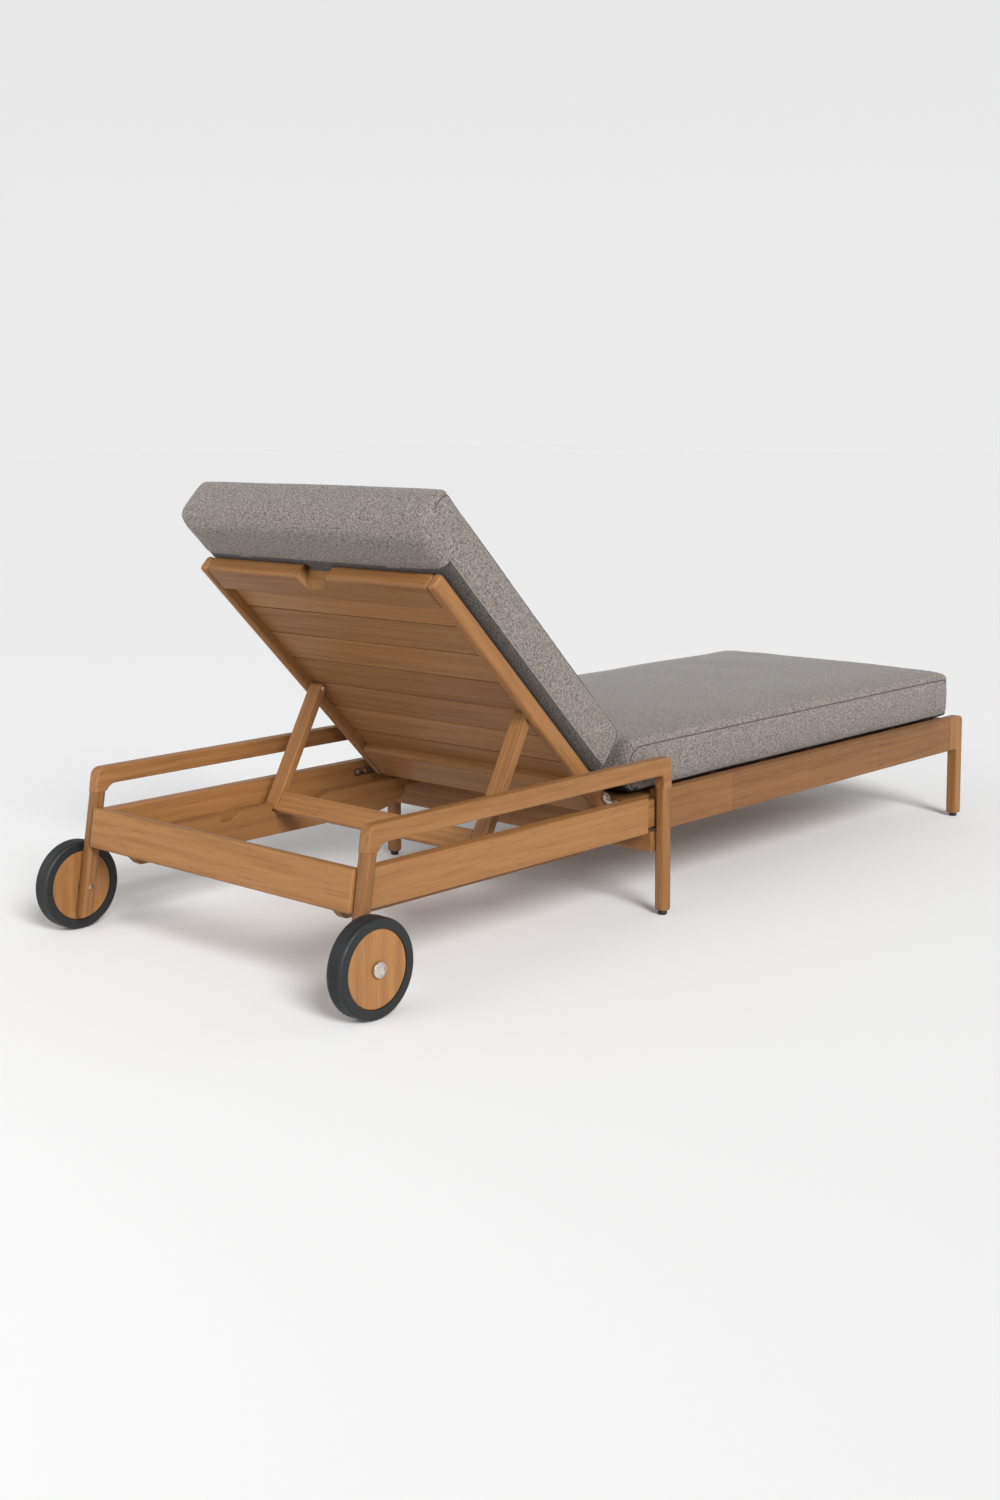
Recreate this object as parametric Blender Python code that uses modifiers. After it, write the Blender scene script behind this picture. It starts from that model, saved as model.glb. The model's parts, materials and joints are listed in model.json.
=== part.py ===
"""Reclining sun lounger with two wheels, a notched-rack backrest and two box cushions.

Axes: X runs across, Y along (foot end at -Y, wheels at +Y), Z up. The origin is on the floor, at the
centre of the overall box. "Station" below means the distance along Y from the foot end.
All sizes are in metres.
"""
import math

import bmesh
import bpy
from mathutils import Matrix, Vector

# ---------------------------------------------------------------- driving dimensions
OVERALL_LENGTH = 2.080      # foot end to the back of the tyres
FRAME_HALF_WIDTH = 0.375    # outer faces of the posts and arms
FIT_GAP = 0.0003            # gap between pieces that touch
EDGE_SEGMENTS = 2

# timber frame
RAIL_THICKNESS = 0.0255
RAIL_INSET = 0.0195         # side rails' outer face, inwards from the posts' outer face
RAIL_BOTTOM = 0.162
FOOT_RAIL_TOP = 0.240
HEAD_RAIL_TOP = 0.231
END_RAIL_HEIGHT = 0.0745
END_RAIL_PROUD = 0.0044     # end rail's outer face beyond the wheel posts' head face
POST_WIDTH = 0.024          # across, in X
POST_DEPTH = 0.0245         # along, in Y
FOOT_STUB = 0.056           # station of the joint between foot leg and foot rail
MID_POST_STATION = 1.1668   # foot face of the middle post
HEAD_RAIL_START = 1.2140
CROSS_RAIL_BOTTOM = 0.123
CROSS_RAIL_THICKNESS = 0.0245
CROSS_RAIL_SETBACK = 0.0095  # cross rail's head face beyond the middle post's head face
RAKE = math.radians(9.3)    # wheel posts lean: top towards the foot
WHEEL_POST_BOTTOM = 0.0276
ARM_TOP = 0.307
ARM_HEIGHT = 0.033
ARM_MID_JOINT = 0.248       # height of the joint between arm and middle post
ARM_WHEEL_JOINT = 0.262     # height of the joint between arm and wheel post
ARM_MID_FILLET = 0.010
ARM_WHEEL_FILLET = 0.025
ARM_MID_ROUND = 0.011
ARM_WHEEL_ROUND = 0.018
TIMBER_EDGE = 0.0035
POST_EDGE = 0.006
ARM_EDGE = 0.006
JOINT_TRIM = 0.012          # posts and arms are rounded past their joints, then cut square

# seat deck
SLAT_THICKNESS = 0.012
DECK_DROP = 0.011
SEAT_SLAT_WIDTH = 0.155
SEAT_SLAT_COUNT = 7
LAST_SLAT_END = 1.250          # the last slat reaches past the cross rail, towards the hinge
CLEAT_WIDTH = 0.020
CLEAT_HEIGHT = 0.025

# glides and wheels
GLIDE_RADIUS = 0.0088
GLIDE_HEIGHT = 0.007
WHEEL_RADIUS = 0.0838
WHEEL_WIDTH = 0.034
WHEEL_GAP = 0.004           # between post and wheel
DISC_RADIUS = 0.0652
BUSH_RADIUS = 0.0090
AXLE_RADIUS = 0.0055
AXLE_COLLAR_RADIUS = 0.0105
CAP_RADIUS = 0.0132
CAP_THICKNESS = 0.0052
RUNNING_GAP = 0.0003
WHEEL_SEGMENTS = 48

# racks
RACK_INNER = 0.2662         # inner face, in X
RACK_THICKNESS = 0.020
RACK_TOP = 0.1965
RACK_BOTTOM = 0.132
NOTCH_FLOOR = 0.180
NOTCH_STOPS = (1.6165, 1.748)   # stations of the two deep notches' stop faces
NOTCH_FLOOR_LENGTH = 0.026
NOTCH_RAMP_LENGTH = 0.030
LOW_NOTCH_STATION = 1.503       # shallow notch nearest the hinge
LOW_NOTCH_FLOOR = 0.1858
LOW_NOTCH_STOP = 0.0035
LOW_NOTCH_SLOPE = 0.050         # the rack's top slopes gently down into it
LOW_NOTCH_RAMP = 0.030

# backrest
HINGE_STATION = 1.281
HINGE_HEIGHT = 0.225
RECLINE = math.radians(45.0)
STILE_INNER = 0.2908
STILE_WIDTH = 0.0195
STILE_FRONT = 0.0120        # front face above the hinge axis, with the back lowered flat
STILE_DEPTH = 0.0328
STILE_START = -0.0147       # along the back from the hinge axis
STILE_END = 0.6500
STILE_EDGE = 0.006
TOP_RAIL_WIDTH = 0.0620
BOTTOM_RAIL_WIDTH = 0.0905
BACK_SLAT_COUNT = 7
BACK_SLAT_JOINT = 0.0030
BACK_SLAT_THICKNESS = 0.0134
BACK_SLAT_TUCK = 0.0065     # slats run in behind the two rails' lips
NOTCH_HALF_WIDTH = 0.0400   # finger notch in the top rail
NOTCH_DEPTH = 0.015
SCOOP_DEPTH = 0.036         # how far the scoop runs down the back face

# hinge
HINGE_PLATE_THICKNESS = 0.003
HINGE_PIN_RADIUS = 0.004
HINGE_COLLAR_RADIUS = 0.0070
HINGE_STANDOFF = 0.0034        # room on the stile for a strap
HINGE_PIN_BITE = 0.012      # depth of the pin in the stile

# prop
PROP_PIVOT_ALONG = 0.2763
PROP_PIVOT_BEHIND = 0.0114  # behind the hinge line, with the back lowered flat
PROP_DROP = math.radians(61.2)  # legs' slope below the horizontal, resting in the middle notch
PROP_THICKNESS = 0.017
PROP_LEG_WIDTH = 0.0343
PROP_LEG_LENGTH = 0.2325    # pivot to the leg's round end
PROP_BAR_LENGTH = 0.2650    # pivot to the bar's lower edge
PROP_BAR_HEIGHT = 0.0420
PROP_HEAD = 0.0085          # leg above its pivot
PROP_BOLT_RADIUS = 0.003
PROP_BOLT_HEAD_RADIUS = 0.0052
PROP_BOLT_HEAD = 0.0022
PROP_BOLT_BITE = 0.008

# cushions
CUSHION_HALF_WIDTH = 0.321
SEAT_CUSHION_START = 0.0
SEAT_CUSHION_END = 1.226
SEAT_CUSHION_THICKNESS = 0.116
BACK_CUSHION_START = 0.0643
BACK_CUSHION_END = 0.757
BACK_CUSHION_THICKNESS = 0.111
CUSHION_LIFT = 0.0006
CUSHION_ROUND = 0.022

# colours: base colour, roughness, metallic
TEAK = ((0.42, 0.20, 0.085, 1.0), 0.55, 0.0)
TEAK_DARK = ((0.30, 0.13, 0.055, 1.0), 0.6, 0.0)
FABRIC = ((0.27, 0.245, 0.235, 1.0), 0.95, 0.0)
RUBBER = ((0.018, 0.020, 0.022, 1.0), 0.7, 0.0)
STEEL = ((0.62, 0.60, 0.57, 1.0), 0.3, 1.0)

# ---------------------------------------------------------------- derived values
FOOT_END = -OVERALL_LENGTH / 2
RAIL_OUTER = FRAME_HALF_WIDTH - RAIL_INSET
RAIL_INNER = RAIL_OUTER - RAIL_THICKNESS
POST_INNER = FRAME_HALF_WIDTH - POST_WIDTH
MID_POST_HEAD = MID_POST_STATION + POST_DEPTH
SIDE_RAIL_JOINT = MID_POST_HEAD - POST_DEPTH / 2
CROSS_RAIL_HEAD = MID_POST_HEAD + CROSS_RAIL_SETBACK
AXLE_STATION = OVERALL_LENGTH - WHEEL_RADIUS
DECK_TOP = FOOT_RAIL_TOP - DECK_DROP
DECK_BOTTOM = DECK_TOP - SLAT_THICKNESS
ARM_BOTTOM = ARM_TOP - ARM_HEIGHT
POST_DEPTH_LEVEL = POST_DEPTH / math.cos(RAKE)   # wheel post's depth measured level
WHEEL_INNER = FRAME_HALF_WIDTH + WHEEL_GAP
WHEEL_OUTER = WHEEL_INNER + WHEEL_WIDTH
STILE_OUTER = STILE_INNER + STILE_WIDTH
RACK_OUTER = RACK_INNER + RACK_THICKNESS
SIDES = (("left", 1), ("right", -1))


def along(station):
    """World Y of a station."""
    return FOOT_END + station


def wheel_post_foot_face(height):
    """Station of the wheel post's foot face at a height."""
    return AXLE_STATION - POST_DEPTH_LEVEL / 2 - (height - WHEEL_RADIUS) * math.tan(RAKE)


def wheel_post_head_face(height):
    return wheel_post_foot_face(height) + POST_DEPTH_LEVEL


def end_rail_inner_face(height):
    """Station of the raked end rail's foot face at a height."""
    level = (END_RAIL_PROUD - RAIL_THICKNESS) / math.cos(RAKE)
    return wheel_post_head_face(height) + level


# ---------------------------------------------------------------- scene helpers
def clear_scene():
    for obj in list(bpy.data.objects):
        bpy.data.objects.remove(obj, do_unlink=True)
    for group in list(bpy.data.collections):
        bpy.data.collections.remove(group)


def make_collection(name):
    group = bpy.data.collections.new(name)
    bpy.context.scene.collection.children.link(group)
    return group


def make_material(name, finish):
    colour, roughness, metallic = finish
    material = bpy.data.materials.new(name)
    material.use_nodes = True
    shader = material.node_tree.nodes["Principled BSDF"]
    shader.inputs["Base Color"].default_value = colour
    shader.inputs["Roughness"].default_value = roughness
    shader.inputs["Metallic"].default_value = metallic
    material.diffuse_color = colour
    return material


def add_part(name, mesh, finish, parent=None):
    mesh.name = name
    obj = bpy.data.objects.new(name, mesh)
    PARTS.objects.link(obj)
    mesh.materials.clear()
    mesh.materials.append(make_material(name, finish))
    obj.parent = parent
    return obj


def add_empty(name, location, rotation=0.0, parent=None):
    """An empty on a joint's axis, turned about X."""
    empty = bpy.data.objects.new(name, None)
    PARTS.objects.link(empty)
    empty.location = location
    empty.rotation_euler = (rotation, 0.0, 0.0)
    empty.parent = parent
    return empty


def box_mesh(low, high):
    mesh = bpy.data.meshes.new("box")
    bm = bmesh.new()
    bmesh.ops.create_cube(bm, size=1.0)
    size = [b - a for a, b in zip(low, high)]
    middle = [(a + b) / 2 for a, b in zip(low, high)]
    bmesh.ops.scale(bm, vec=size, verts=bm.verts)
    bmesh.ops.translate(bm, vec=middle, verts=bm.verts)
    bm.to_mesh(mesh)
    bm.free()
    return mesh


def soften(obj, width, segments=EDGE_SEGMENTS, angle=40):
    """Round the sharp edges."""
    bevel = obj.modifiers.new("edges", "BEVEL")
    bevel.width = width
    bevel.segments = segments
    bevel.limit_method = "ANGLE"
    bevel.angle_limit = math.radians(angle)
    bevel.use_clamp_overlap = True
    return obj


def box_part(name, low, high, edge, finish, parent=None, segments=EDGE_SEGMENTS):
    obj = add_part(name, box_mesh(low, high), finish, parent)
    return soften(obj, edge, segments)


def mirrored(low, high, side):
    """The box's corners on one side of the middle plane."""
    if side > 0:
        return low, high
    return (-high[0], low[1], low[2]), (-low[0], high[1], high[2])


def rounded_outline(corners, steps=5):
    """Points of a closed outline from (u, v, radius) corners, with round corners as arcs."""
    points = []
    count = len(corners)
    for index, (u, v, radius) in enumerate(corners):
        here = Vector((u, v))
        if radius <= 0:
            points.append((u, v))
            continue
        before = Vector(corners[index - 1][:2]) - here
        after = Vector(corners[(index + 1) % count][:2]) - here
        half = before.angle(after) / 2
        reach = radius / math.tan(half)
        start = here + before.normalized() * reach
        centre = here + (before.normalized() + after.normalized()).normalized() * radius / math.sin(half)
        arm = start - centre
        end = here + after.normalized() * reach - centre
        turn = math.atan2(arm.x * end.y - arm.y * end.x, arm.dot(end))
        for step in range(steps + 1):
            spin = Matrix.Rotation(turn * step / steps, 2)
            point = centre + spin @ arm
            points.append((point.x, point.y))
    return points


def outline_mesh(points, thickness):
    """A closed plate from a flat outline, thickness centred on its plane."""
    curve = bpy.data.curves.new("outline", "CURVE")
    curve.dimensions = "2D"
    curve.fill_mode = "BOTH"
    curve.extrude = thickness / 2
    spline = curve.splines.new("POLY")
    spline.points.add(len(points) - 1)
    for target, (u, v) in zip(spline.points, points):
        target.co = (u, v, 0.0, 1.0)
    spline.use_cyclic_u = True
    holder = bpy.data.objects.new("outline", curve)
    bpy.context.scene.collection.objects.link(holder)
    mesh = bpy.data.meshes.new_from_object(holder.evaluated_get(bpy.context.evaluated_depsgraph_get()))
    bpy.data.objects.remove(holder, do_unlink=True)
    bm = bmesh.new()
    bm.from_mesh(mesh)
    bmesh.ops.remove_doubles(bm, verts=bm.verts, dist=1e-5)
    bmesh.ops.dissolve_limit(bm, angle_limit=math.radians(0.5), verts=bm.verts, edges=bm.edges)
    bmesh.ops.recalc_face_normals(bm, faces=bm.faces)
    bm.to_mesh(mesh)
    bm.free()
    return mesh


# turns an outline drawn in (Y, Z) so that its thickness runs along X
YZ_PLANE = Matrix(((0, 0, 1, 0), (1, 0, 0, 0), (0, 1, 0, 0), (0, 0, 0, 1)))
# turns an outline drawn in (X, Z) so that its thickness runs along -Y
XZ_PLANE = Matrix(((1, 0, 0, 0), (0, 0, -1, 0), (0, 1, 0, 0), (0, 0, 0, 1)))


def side_plate(name, points, x_low, x_high, edge, finish, parent=None, steps=EDGE_SEGMENTS):
    """A plate drawn in (Y, Z) that fills X from x_low to x_high."""
    mesh = outline_mesh(points, abs(x_high - x_low))
    mesh.transform(Matrix.Translation(((x_low + x_high) / 2, 0, 0)) @ YZ_PLANE)
    obj = add_part(name, mesh, finish, parent)
    if edge:
        soften(obj, edge, steps)
    return obj


def turned_mesh(profile, segments):
    """A closed solid turned about X from (x, radius) points, listed so that faces point out."""
    mesh = bpy.data.meshes.new("profile")
    bm = bmesh.new()
    verts = [bm.verts.new((radius, 0.0, x)) for x, radius in profile]
    closed = min(radius for x, radius in profile) > 0
    for a, b in zip(verts, verts[1:] + ([verts[0]] if closed else [])):
        bm.edges.new((a, b))
    bm.to_mesh(mesh)
    bm.free()
    holder = bpy.data.objects.new("turned", mesh)
    bpy.context.scene.collection.objects.link(holder)
    screw = holder.modifiers.new("turn", "SCREW")
    screw.axis = "Z"
    screw.steps = segments
    screw.render_steps = segments
    screw.use_merge_vertices = True
    screw.merge_threshold = 1e-5
    graph = bpy.context.evaluated_depsgraph_get()
    solid = bpy.data.meshes.new_from_object(holder.evaluated_get(graph))
    bpy.data.objects.remove(holder, do_unlink=True)
    bm = bmesh.new()
    bm.from_mesh(solid)
    bmesh.ops.remove_doubles(bm, verts=bm.verts, dist=1e-6)
    bmesh.ops.recalc_face_normals(bm, faces=bm.faces)
    bm.to_mesh(solid)
    bm.free()
    solid.transform(Matrix.Rotation(math.radians(90), 4, "Y"))
    solid.shade_smooth()
    solid.set_sharp_from_angle(angle=math.radians(35))
    return solid


def turned_part(name, profile, side, centre, finish, parent=None, segments=24):
    """A turned piece on one side; profile is (distance outwards in X, radius)."""
    mesh = turned_mesh([(x, radius) for x, radius in profile], segments)
    if side < 0:
        mesh.transform(Matrix.Rotation(math.radians(180), 4, "Z"))
    obj = add_part(name, mesh, finish, parent)
    obj.location = centre
    return obj


def add_cutter(name, mesh, parent=None):
    cutter = bpy.data.objects.new(name, mesh)
    CUTTERS.objects.link(cutter)
    cutter.hide_render = True
    cutter.display_type = "WIRE"
    cutter.parent = parent
    return cutter


def cut(obj, cutter):
    """Take the cutter out of a piece, before its edges are rounded."""
    step = obj.modifiers.new("cut", "BOOLEAN")
    step.operation = "DIFFERENCE"
    step.solver = "EXACT"
    step.object = cutter
    return step


def drill(obj, name, x_low, x_high, centre, radius, parent=None, segments=20):
    """A round hole along X through or into a piece, made after its edges are rounded."""
    bm = bmesh.new()
    bmesh.ops.create_cone(bm, cap_ends=True, segments=segments, radius1=radius, radius2=radius,
                          depth=abs(x_high - x_low))
    mesh = bpy.data.meshes.new(name)
    bm.to_mesh(mesh)
    bm.free()
    mesh.transform(Matrix.Rotation(math.radians(90), 4, "Y"))
    mesh.transform(Matrix.Translation(((x_low + x_high) / 2, centre[0], centre[1])))
    cut(obj, add_cutter(name, mesh, parent))


# ---------------------------------------------------------------- base frame
def build_foot_section():
    for word, side in SIDES:
        x_low, x_high = sorted((side * RAIL_INNER, side * RAIL_OUTER))
        leg = [(along(0), GLIDE_HEIGHT, 0), (along(0), FOOT_RAIL_TOP, 0.012),
               (along(FOOT_STUB), FOOT_RAIL_TOP, 0), (along(FOOT_STUB), RAIL_BOTTOM, 0),
               (along(POST_DEPTH), RAIL_BOTTOM, 0.009), (along(POST_DEPTH), GLIDE_HEIGHT, 0)]
        side_plate(f"foot_leg_{word}", rounded_outline(leg), x_low, x_high, TIMBER_EDGE, TEAK)
        low, high = mirrored((RAIL_INNER, along(FOOT_STUB + FIT_GAP), RAIL_BOTTOM),
                             (RAIL_OUTER, along(SIDE_RAIL_JOINT), FOOT_RAIL_TOP), side)
        box_part(f"foot_side_rail_{word}", low, high, TIMBER_EDGE, TEAK)
        low = (RAIL_INNER - FIT_GAP - CLEAT_WIDTH, along(CLEAT_START), DECK_BOTTOM - FIT_GAP - CLEAT_HEIGHT)
        high = (RAIL_INNER - FIT_GAP, along(CLEAT_END), DECK_BOTTOM - FIT_GAP)
        low, high = mirrored(low, high, side)
        box_part(f"seat_cleat_{word}", low, high, 0.0015, TEAK_DARK, None, 1)
    box_part("foot_end_rail", (-RAIL_INNER + FIT_GAP, along(FOOT_RAIL_SETBACK), RAIL_BOTTOM),
             (RAIL_INNER - FIT_GAP, along(FOOT_RAIL_SETBACK + RAIL_THICKNESS), DECK_TOP),
             TIMBER_EDGE, TEAK)


FOOT_RAIL_SETBACK = 0.003
CLEAT_START = FOOT_RAIL_SETBACK + RAIL_THICKNESS + FIT_GAP
CLEAT_END = CROSS_RAIL_HEAD - CROSS_RAIL_THICKNESS - FIT_GAP


def build_seat_slats():
    """Slats across the foot section, evenly spaced on the cleats and the cross rail."""
    first = CLEAT_START + 0.012
    pitch = (LAST_SLAT_END - first - SEAT_SLAT_WIDTH) / (SEAT_SLAT_COUNT - 1)
    for index in range(SEAT_SLAT_COUNT):
        start = first + index * pitch
        box_part(f"seat_slat_{index + 1}",
                 (-RAIL_INNER + 2 * FIT_GAP, along(start), DECK_BOTTOM),
                 (RAIL_INNER - 2 * FIT_GAP, along(start + SEAT_SLAT_WIDTH), DECK_TOP),
                 0.0015, TEAK, None, 1)


def build_cross_rail():
    """The deep rail under the hinge: its lower half runs out under the side rails to the posts."""
    inner = RAIL_INNER - FIT_GAP
    outer = POST_INNER - FIT_GAP
    shoulder = RAIL_BOTTOM - FIT_GAP
    top = DECK_BOTTOM - FIT_GAP
    corners = [(-outer, CROSS_RAIL_BOTTOM, 0), (outer, CROSS_RAIL_BOTTOM, 0),
               (outer, shoulder, 0), (inner, shoulder, 0), (inner, top, 0), (-inner, top, 0),
               (-inner, shoulder, 0), (-outer, shoulder, 0)]
    mesh = outline_mesh(rounded_outline(corners), CROSS_RAIL_THICKNESS)
    middle = along(CROSS_RAIL_HEAD - CROSS_RAIL_THICKNESS / 2)
    mesh.transform(Matrix.Translation((0, middle, 0)) @ XZ_PLANE)
    soften(add_part("mid_cross_rail", mesh, TEAK), 0.002)


def post_housing(obj, name, side, top):
    """A shallow housing in a post's inner face, where the side rail passes."""
    low, high = mirrored((POST_INNER - 0.01, along(HOUSING_START), RAIL_BOTTOM - FIT_GAP),
                         (RAIL_OUTER + FIT_GAP, along(OVERALL_LENGTH), top + FIT_GAP), side)
    cut(obj, add_cutter(name, box_mesh(low, high)))


HOUSING_START = 1.0


def trim(obj, name, side, stations, heights):
    """Cut a post or an arm square at its joint, after its edges are rounded."""
    low, high = mirrored((POST_INNER - 0.01, along(stations[0]), heights[0]),
                         (FRAME_HALF_WIDTH + 0.01, along(stations[1]), heights[1]), side)
    cut(obj, add_cutter(name, box_mesh(low, high)))


def build_posts_and_arms():
    for word, side in SIDES:
        x_low, x_high = sorted((side * POST_INNER, side * FRAME_HALF_WIDTH))
        low, high = mirrored((POST_INNER, along(MID_POST_STATION), GLIDE_HEIGHT),
                             (FRAME_HALF_WIDTH, along(MID_POST_HEAD), ARM_MID_JOINT + JOINT_TRIM), side)
        post = box_part(f"mid_post_{word}", low, high, POST_EDGE, TEAK)
        trim(post, f"mid_post_trim_{word}", side, (0.0, OVERALL_LENGTH), (ARM_MID_JOINT - FIT_GAP, ARM_TOP))
        post_housing(post, f"mid_post_housing_{word}", side, FOOT_RAIL_TOP)

        # the wheel post's lower end is square to its rake
        drop = POST_DEPTH / 2 * math.sin(RAKE)
        foot_low = WHEEL_POST_BOTTOM + drop
        head_low = WHEEL_POST_BOTTOM - drop
        above = ARM_WHEEL_JOINT + JOINT_TRIM
        outline = [(along(wheel_post_foot_face(foot_low)), foot_low, 0),
                   (along(wheel_post_head_face(head_low)), head_low, 0),
                   (along(wheel_post_head_face(above)), above, 0),
                   (along(wheel_post_foot_face(above)), above, 0)]
        post = side_plate(f"wheel_post_{word}", rounded_outline(outline), x_low, x_high, POST_EDGE, TEAK)
        trim(post, f"wheel_post_trim_{word}", side, (0.0, OVERALL_LENGTH), (ARM_WHEEL_JOINT - FIT_GAP, ARM_TOP))
        post_housing(post, f"wheel_post_housing_{word}", side, HEAD_RAIL_TOP)
        drill(post, f"axle_hole_{word}", x_low - 0.01, x_high + 0.01, (along(AXLE_STATION), WHEEL_RADIUS),
              AXLE_RADIUS + FIT_GAP)

        mid_low = ARM_MID_JOINT - JOINT_TRIM
        wheel_low = ARM_WHEEL_JOINT - JOINT_TRIM
        arm = [(along(MID_POST_STATION), mid_low, 0),
               (along(MID_POST_HEAD), mid_low, 0),
               (along(MID_POST_HEAD), ARM_BOTTOM, ARM_MID_FILLET),
               (along(wheel_post_foot_face(ARM_BOTTOM)), ARM_BOTTOM, ARM_WHEEL_FILLET),
               (along(wheel_post_foot_face(wheel_low)), wheel_low, 0),
               (along(wheel_post_head_face(wheel_low)), wheel_low, 0),
               (along(wheel_post_head_face(ARM_TOP)), ARM_TOP, ARM_WHEEL_ROUND),
               (along(MID_POST_STATION), ARM_TOP, ARM_MID_ROUND)]
        piece = side_plate(f"arm_{word}", rounded_outline(arm), x_low, x_high, ARM_EDGE, TEAK)
        halfway = (MID_POST_HEAD + OVERALL_LENGTH) / 2
        trim(piece, f"arm_mid_trim_{word}", side, (0.0, halfway), (0.0, ARM_MID_JOINT))
        trim(piece, f"arm_wheel_trim_{word}", side, (halfway, OVERALL_LENGTH + 0.1), (0.0, ARM_WHEEL_JOINT))


def build_head_section():
    tenon_low = RAIL_BOTTOM + 0.008
    tenon_high = HEAD_RAIL_TOP - 0.008
    tenon_start = SIDE_RAIL_JOINT + FIT_GAP
    for word, side in SIDES:
        x_low, x_high = sorted((side * RAIL_INNER, side * RAIL_OUTER))
        rail = [(along(HEAD_RAIL_START), RAIL_BOTTOM, 0.003),
                (along(end_rail_inner_face(RAIL_BOTTOM) - FIT_GAP), RAIL_BOTTOM, 0),
                (along(end_rail_inner_face(HEAD_RAIL_TOP) - FIT_GAP), HEAD_RAIL_TOP, 0),
                (along(HEAD_RAIL_START), HEAD_RAIL_TOP, 0.003),
                (along(HEAD_RAIL_START), tenon_high, 0),
                (along(tenon_start), tenon_high, 0),
                (along(tenon_start), tenon_low, 0),
                (along(HEAD_RAIL_START), tenon_low, 0)]
        piece = side_plate(f"head_side_rail_{word}", rounded_outline(rail, 2), x_low, x_high, TIMBER_EDGE, TEAK)
        # the tenon is thinner than the rail
        shoulder = side * (RAIL_OUTER - 0.007)
        low, high = sorted((shoulder, side * (RAIL_OUTER + 0.01)))
        cutter = box_mesh((low, along(tenon_start - 0.01), RAIL_BOTTOM - 0.01),
                          (high, along(HEAD_RAIL_START), HEAD_RAIL_TOP + 0.01))
        tenon = cut(piece, add_cutter(f"tenon_shoulder_{word}", cutter))
        piece.modifiers.move(piece.modifiers.find(tenon.name), 0)

        rack_part(word, side)

    # the end rail is square to the raked posts
    tilt = add_empty("end_rail_tilt", (0, along(wheel_post_head_face(RAIL_BOTTOM)), RAIL_BOTTOM), RAKE)
    half = POST_INNER - FIT_GAP
    lift = END_RAIL_PROUD * math.sin(RAKE)
    box_part("head_end_rail", (-half, END_RAIL_PROUD - RAIL_THICKNESS, -lift),
             (half, END_RAIL_PROUD, END_RAIL_HEIGHT - lift), 0.0045, TEAK, tilt)


def rack_part(word, side):
    """A notched rack: each notch has an upright stop towards the head and a ramp towards the foot."""
    x_low, x_high = sorted((side * RACK_INNER, side * RACK_OUTER))
    start = CROSS_RAIL_HEAD + FIT_GAP
    tongue = 0.176
    low = LOW_NOTCH_STATION
    corners = [(start, RACK_TOP, 0), (low - 0.012 - LOW_NOTCH_RAMP, RACK_TOP, 0.012),
               (low - 0.012, LOW_NOTCH_FLOOR + 0.001, 0.010), (low, LOW_NOTCH_FLOOR, 0.0015),
               (low, LOW_NOTCH_FLOOR + LOW_NOTCH_STOP, 0), (low + LOW_NOTCH_SLOPE, RACK_TOP, 0.012)]
    for stop in NOTCH_STOPS:
        floor_start = stop - NOTCH_FLOOR_LENGTH
        corners += [(floor_start - NOTCH_RAMP_LENGTH, RACK_TOP, 0.012),
                    (floor_start, NOTCH_FLOOR, 0.008),
                    (stop, NOTCH_FLOOR, 0.002),
                    (stop, RACK_TOP, 0.003)]
    corners += [(end_rail_inner_face(RACK_TOP) - FIT_GAP, RACK_TOP, 0),
                (end_rail_inner_face(RAIL_BOTTOM) - FIT_GAP, RAIL_BOTTOM, 0),
                (end_rail_inner_face(RAIL_BOTTOM) - 0.030, RACK_BOTTOM, 0.010),
                (RACK_CURVE_START, RACK_BOTTOM, 0)]
    # the underside sweeps up towards the cross rail on one arc
    for step in range(1, 7):
        station = RACK_CURVE_START - (RACK_CURVE_START - RACK_CURVE_END) * step / 6
        rise = RACK_CURVE_RADIUS - math.sqrt(RACK_CURVE_RADIUS ** 2 - (RACK_CURVE_START - station) ** 2)
        corners.append((station, RACK_BOTTOM + rise, 0))
    corners += [(RACK_CURVE_END, tongue, 0.004), (start, tongue, 0)]
    outline = rounded_outline([(along(station), height, radius) for station, height, radius in corners], 3)
    outline.reverse()
    side_plate(f"rack_{word}", outline, x_low, x_high, 0.0015, TEAK, steps=1)


RACK_CURVE_START = 1.345
RACK_CURVE_END = 1.242
RACK_CURVE_RADIUS = 0.205


def build_glides():
    places = (("foot", POST_DEPTH / 2, (RAIL_INNER + RAIL_OUTER) / 2),
              ("mid", MID_POST_STATION + POST_DEPTH / 2, (POST_INNER + FRAME_HALF_WIDTH) / 2))
    profile = [(0.0, 0.0), (0.0, GLIDE_RADIUS - 0.0015), (0.0015, GLIDE_RADIUS),
               (GLIDE_HEIGHT - FIT_GAP, GLIDE_RADIUS), (GLIDE_HEIGHT - FIT_GAP, 0.0)]
    for place, station, out in places:
        for word, side in SIDES:
            mesh = turned_mesh(profile, 20)
            mesh.transform(Matrix.Rotation(math.radians(-90), 4, "Y"))
            glide = add_part(f"glide_{place}_{word}", mesh, RUBBER)
            glide.location = (side * out, along(station), 0.0)


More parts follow.
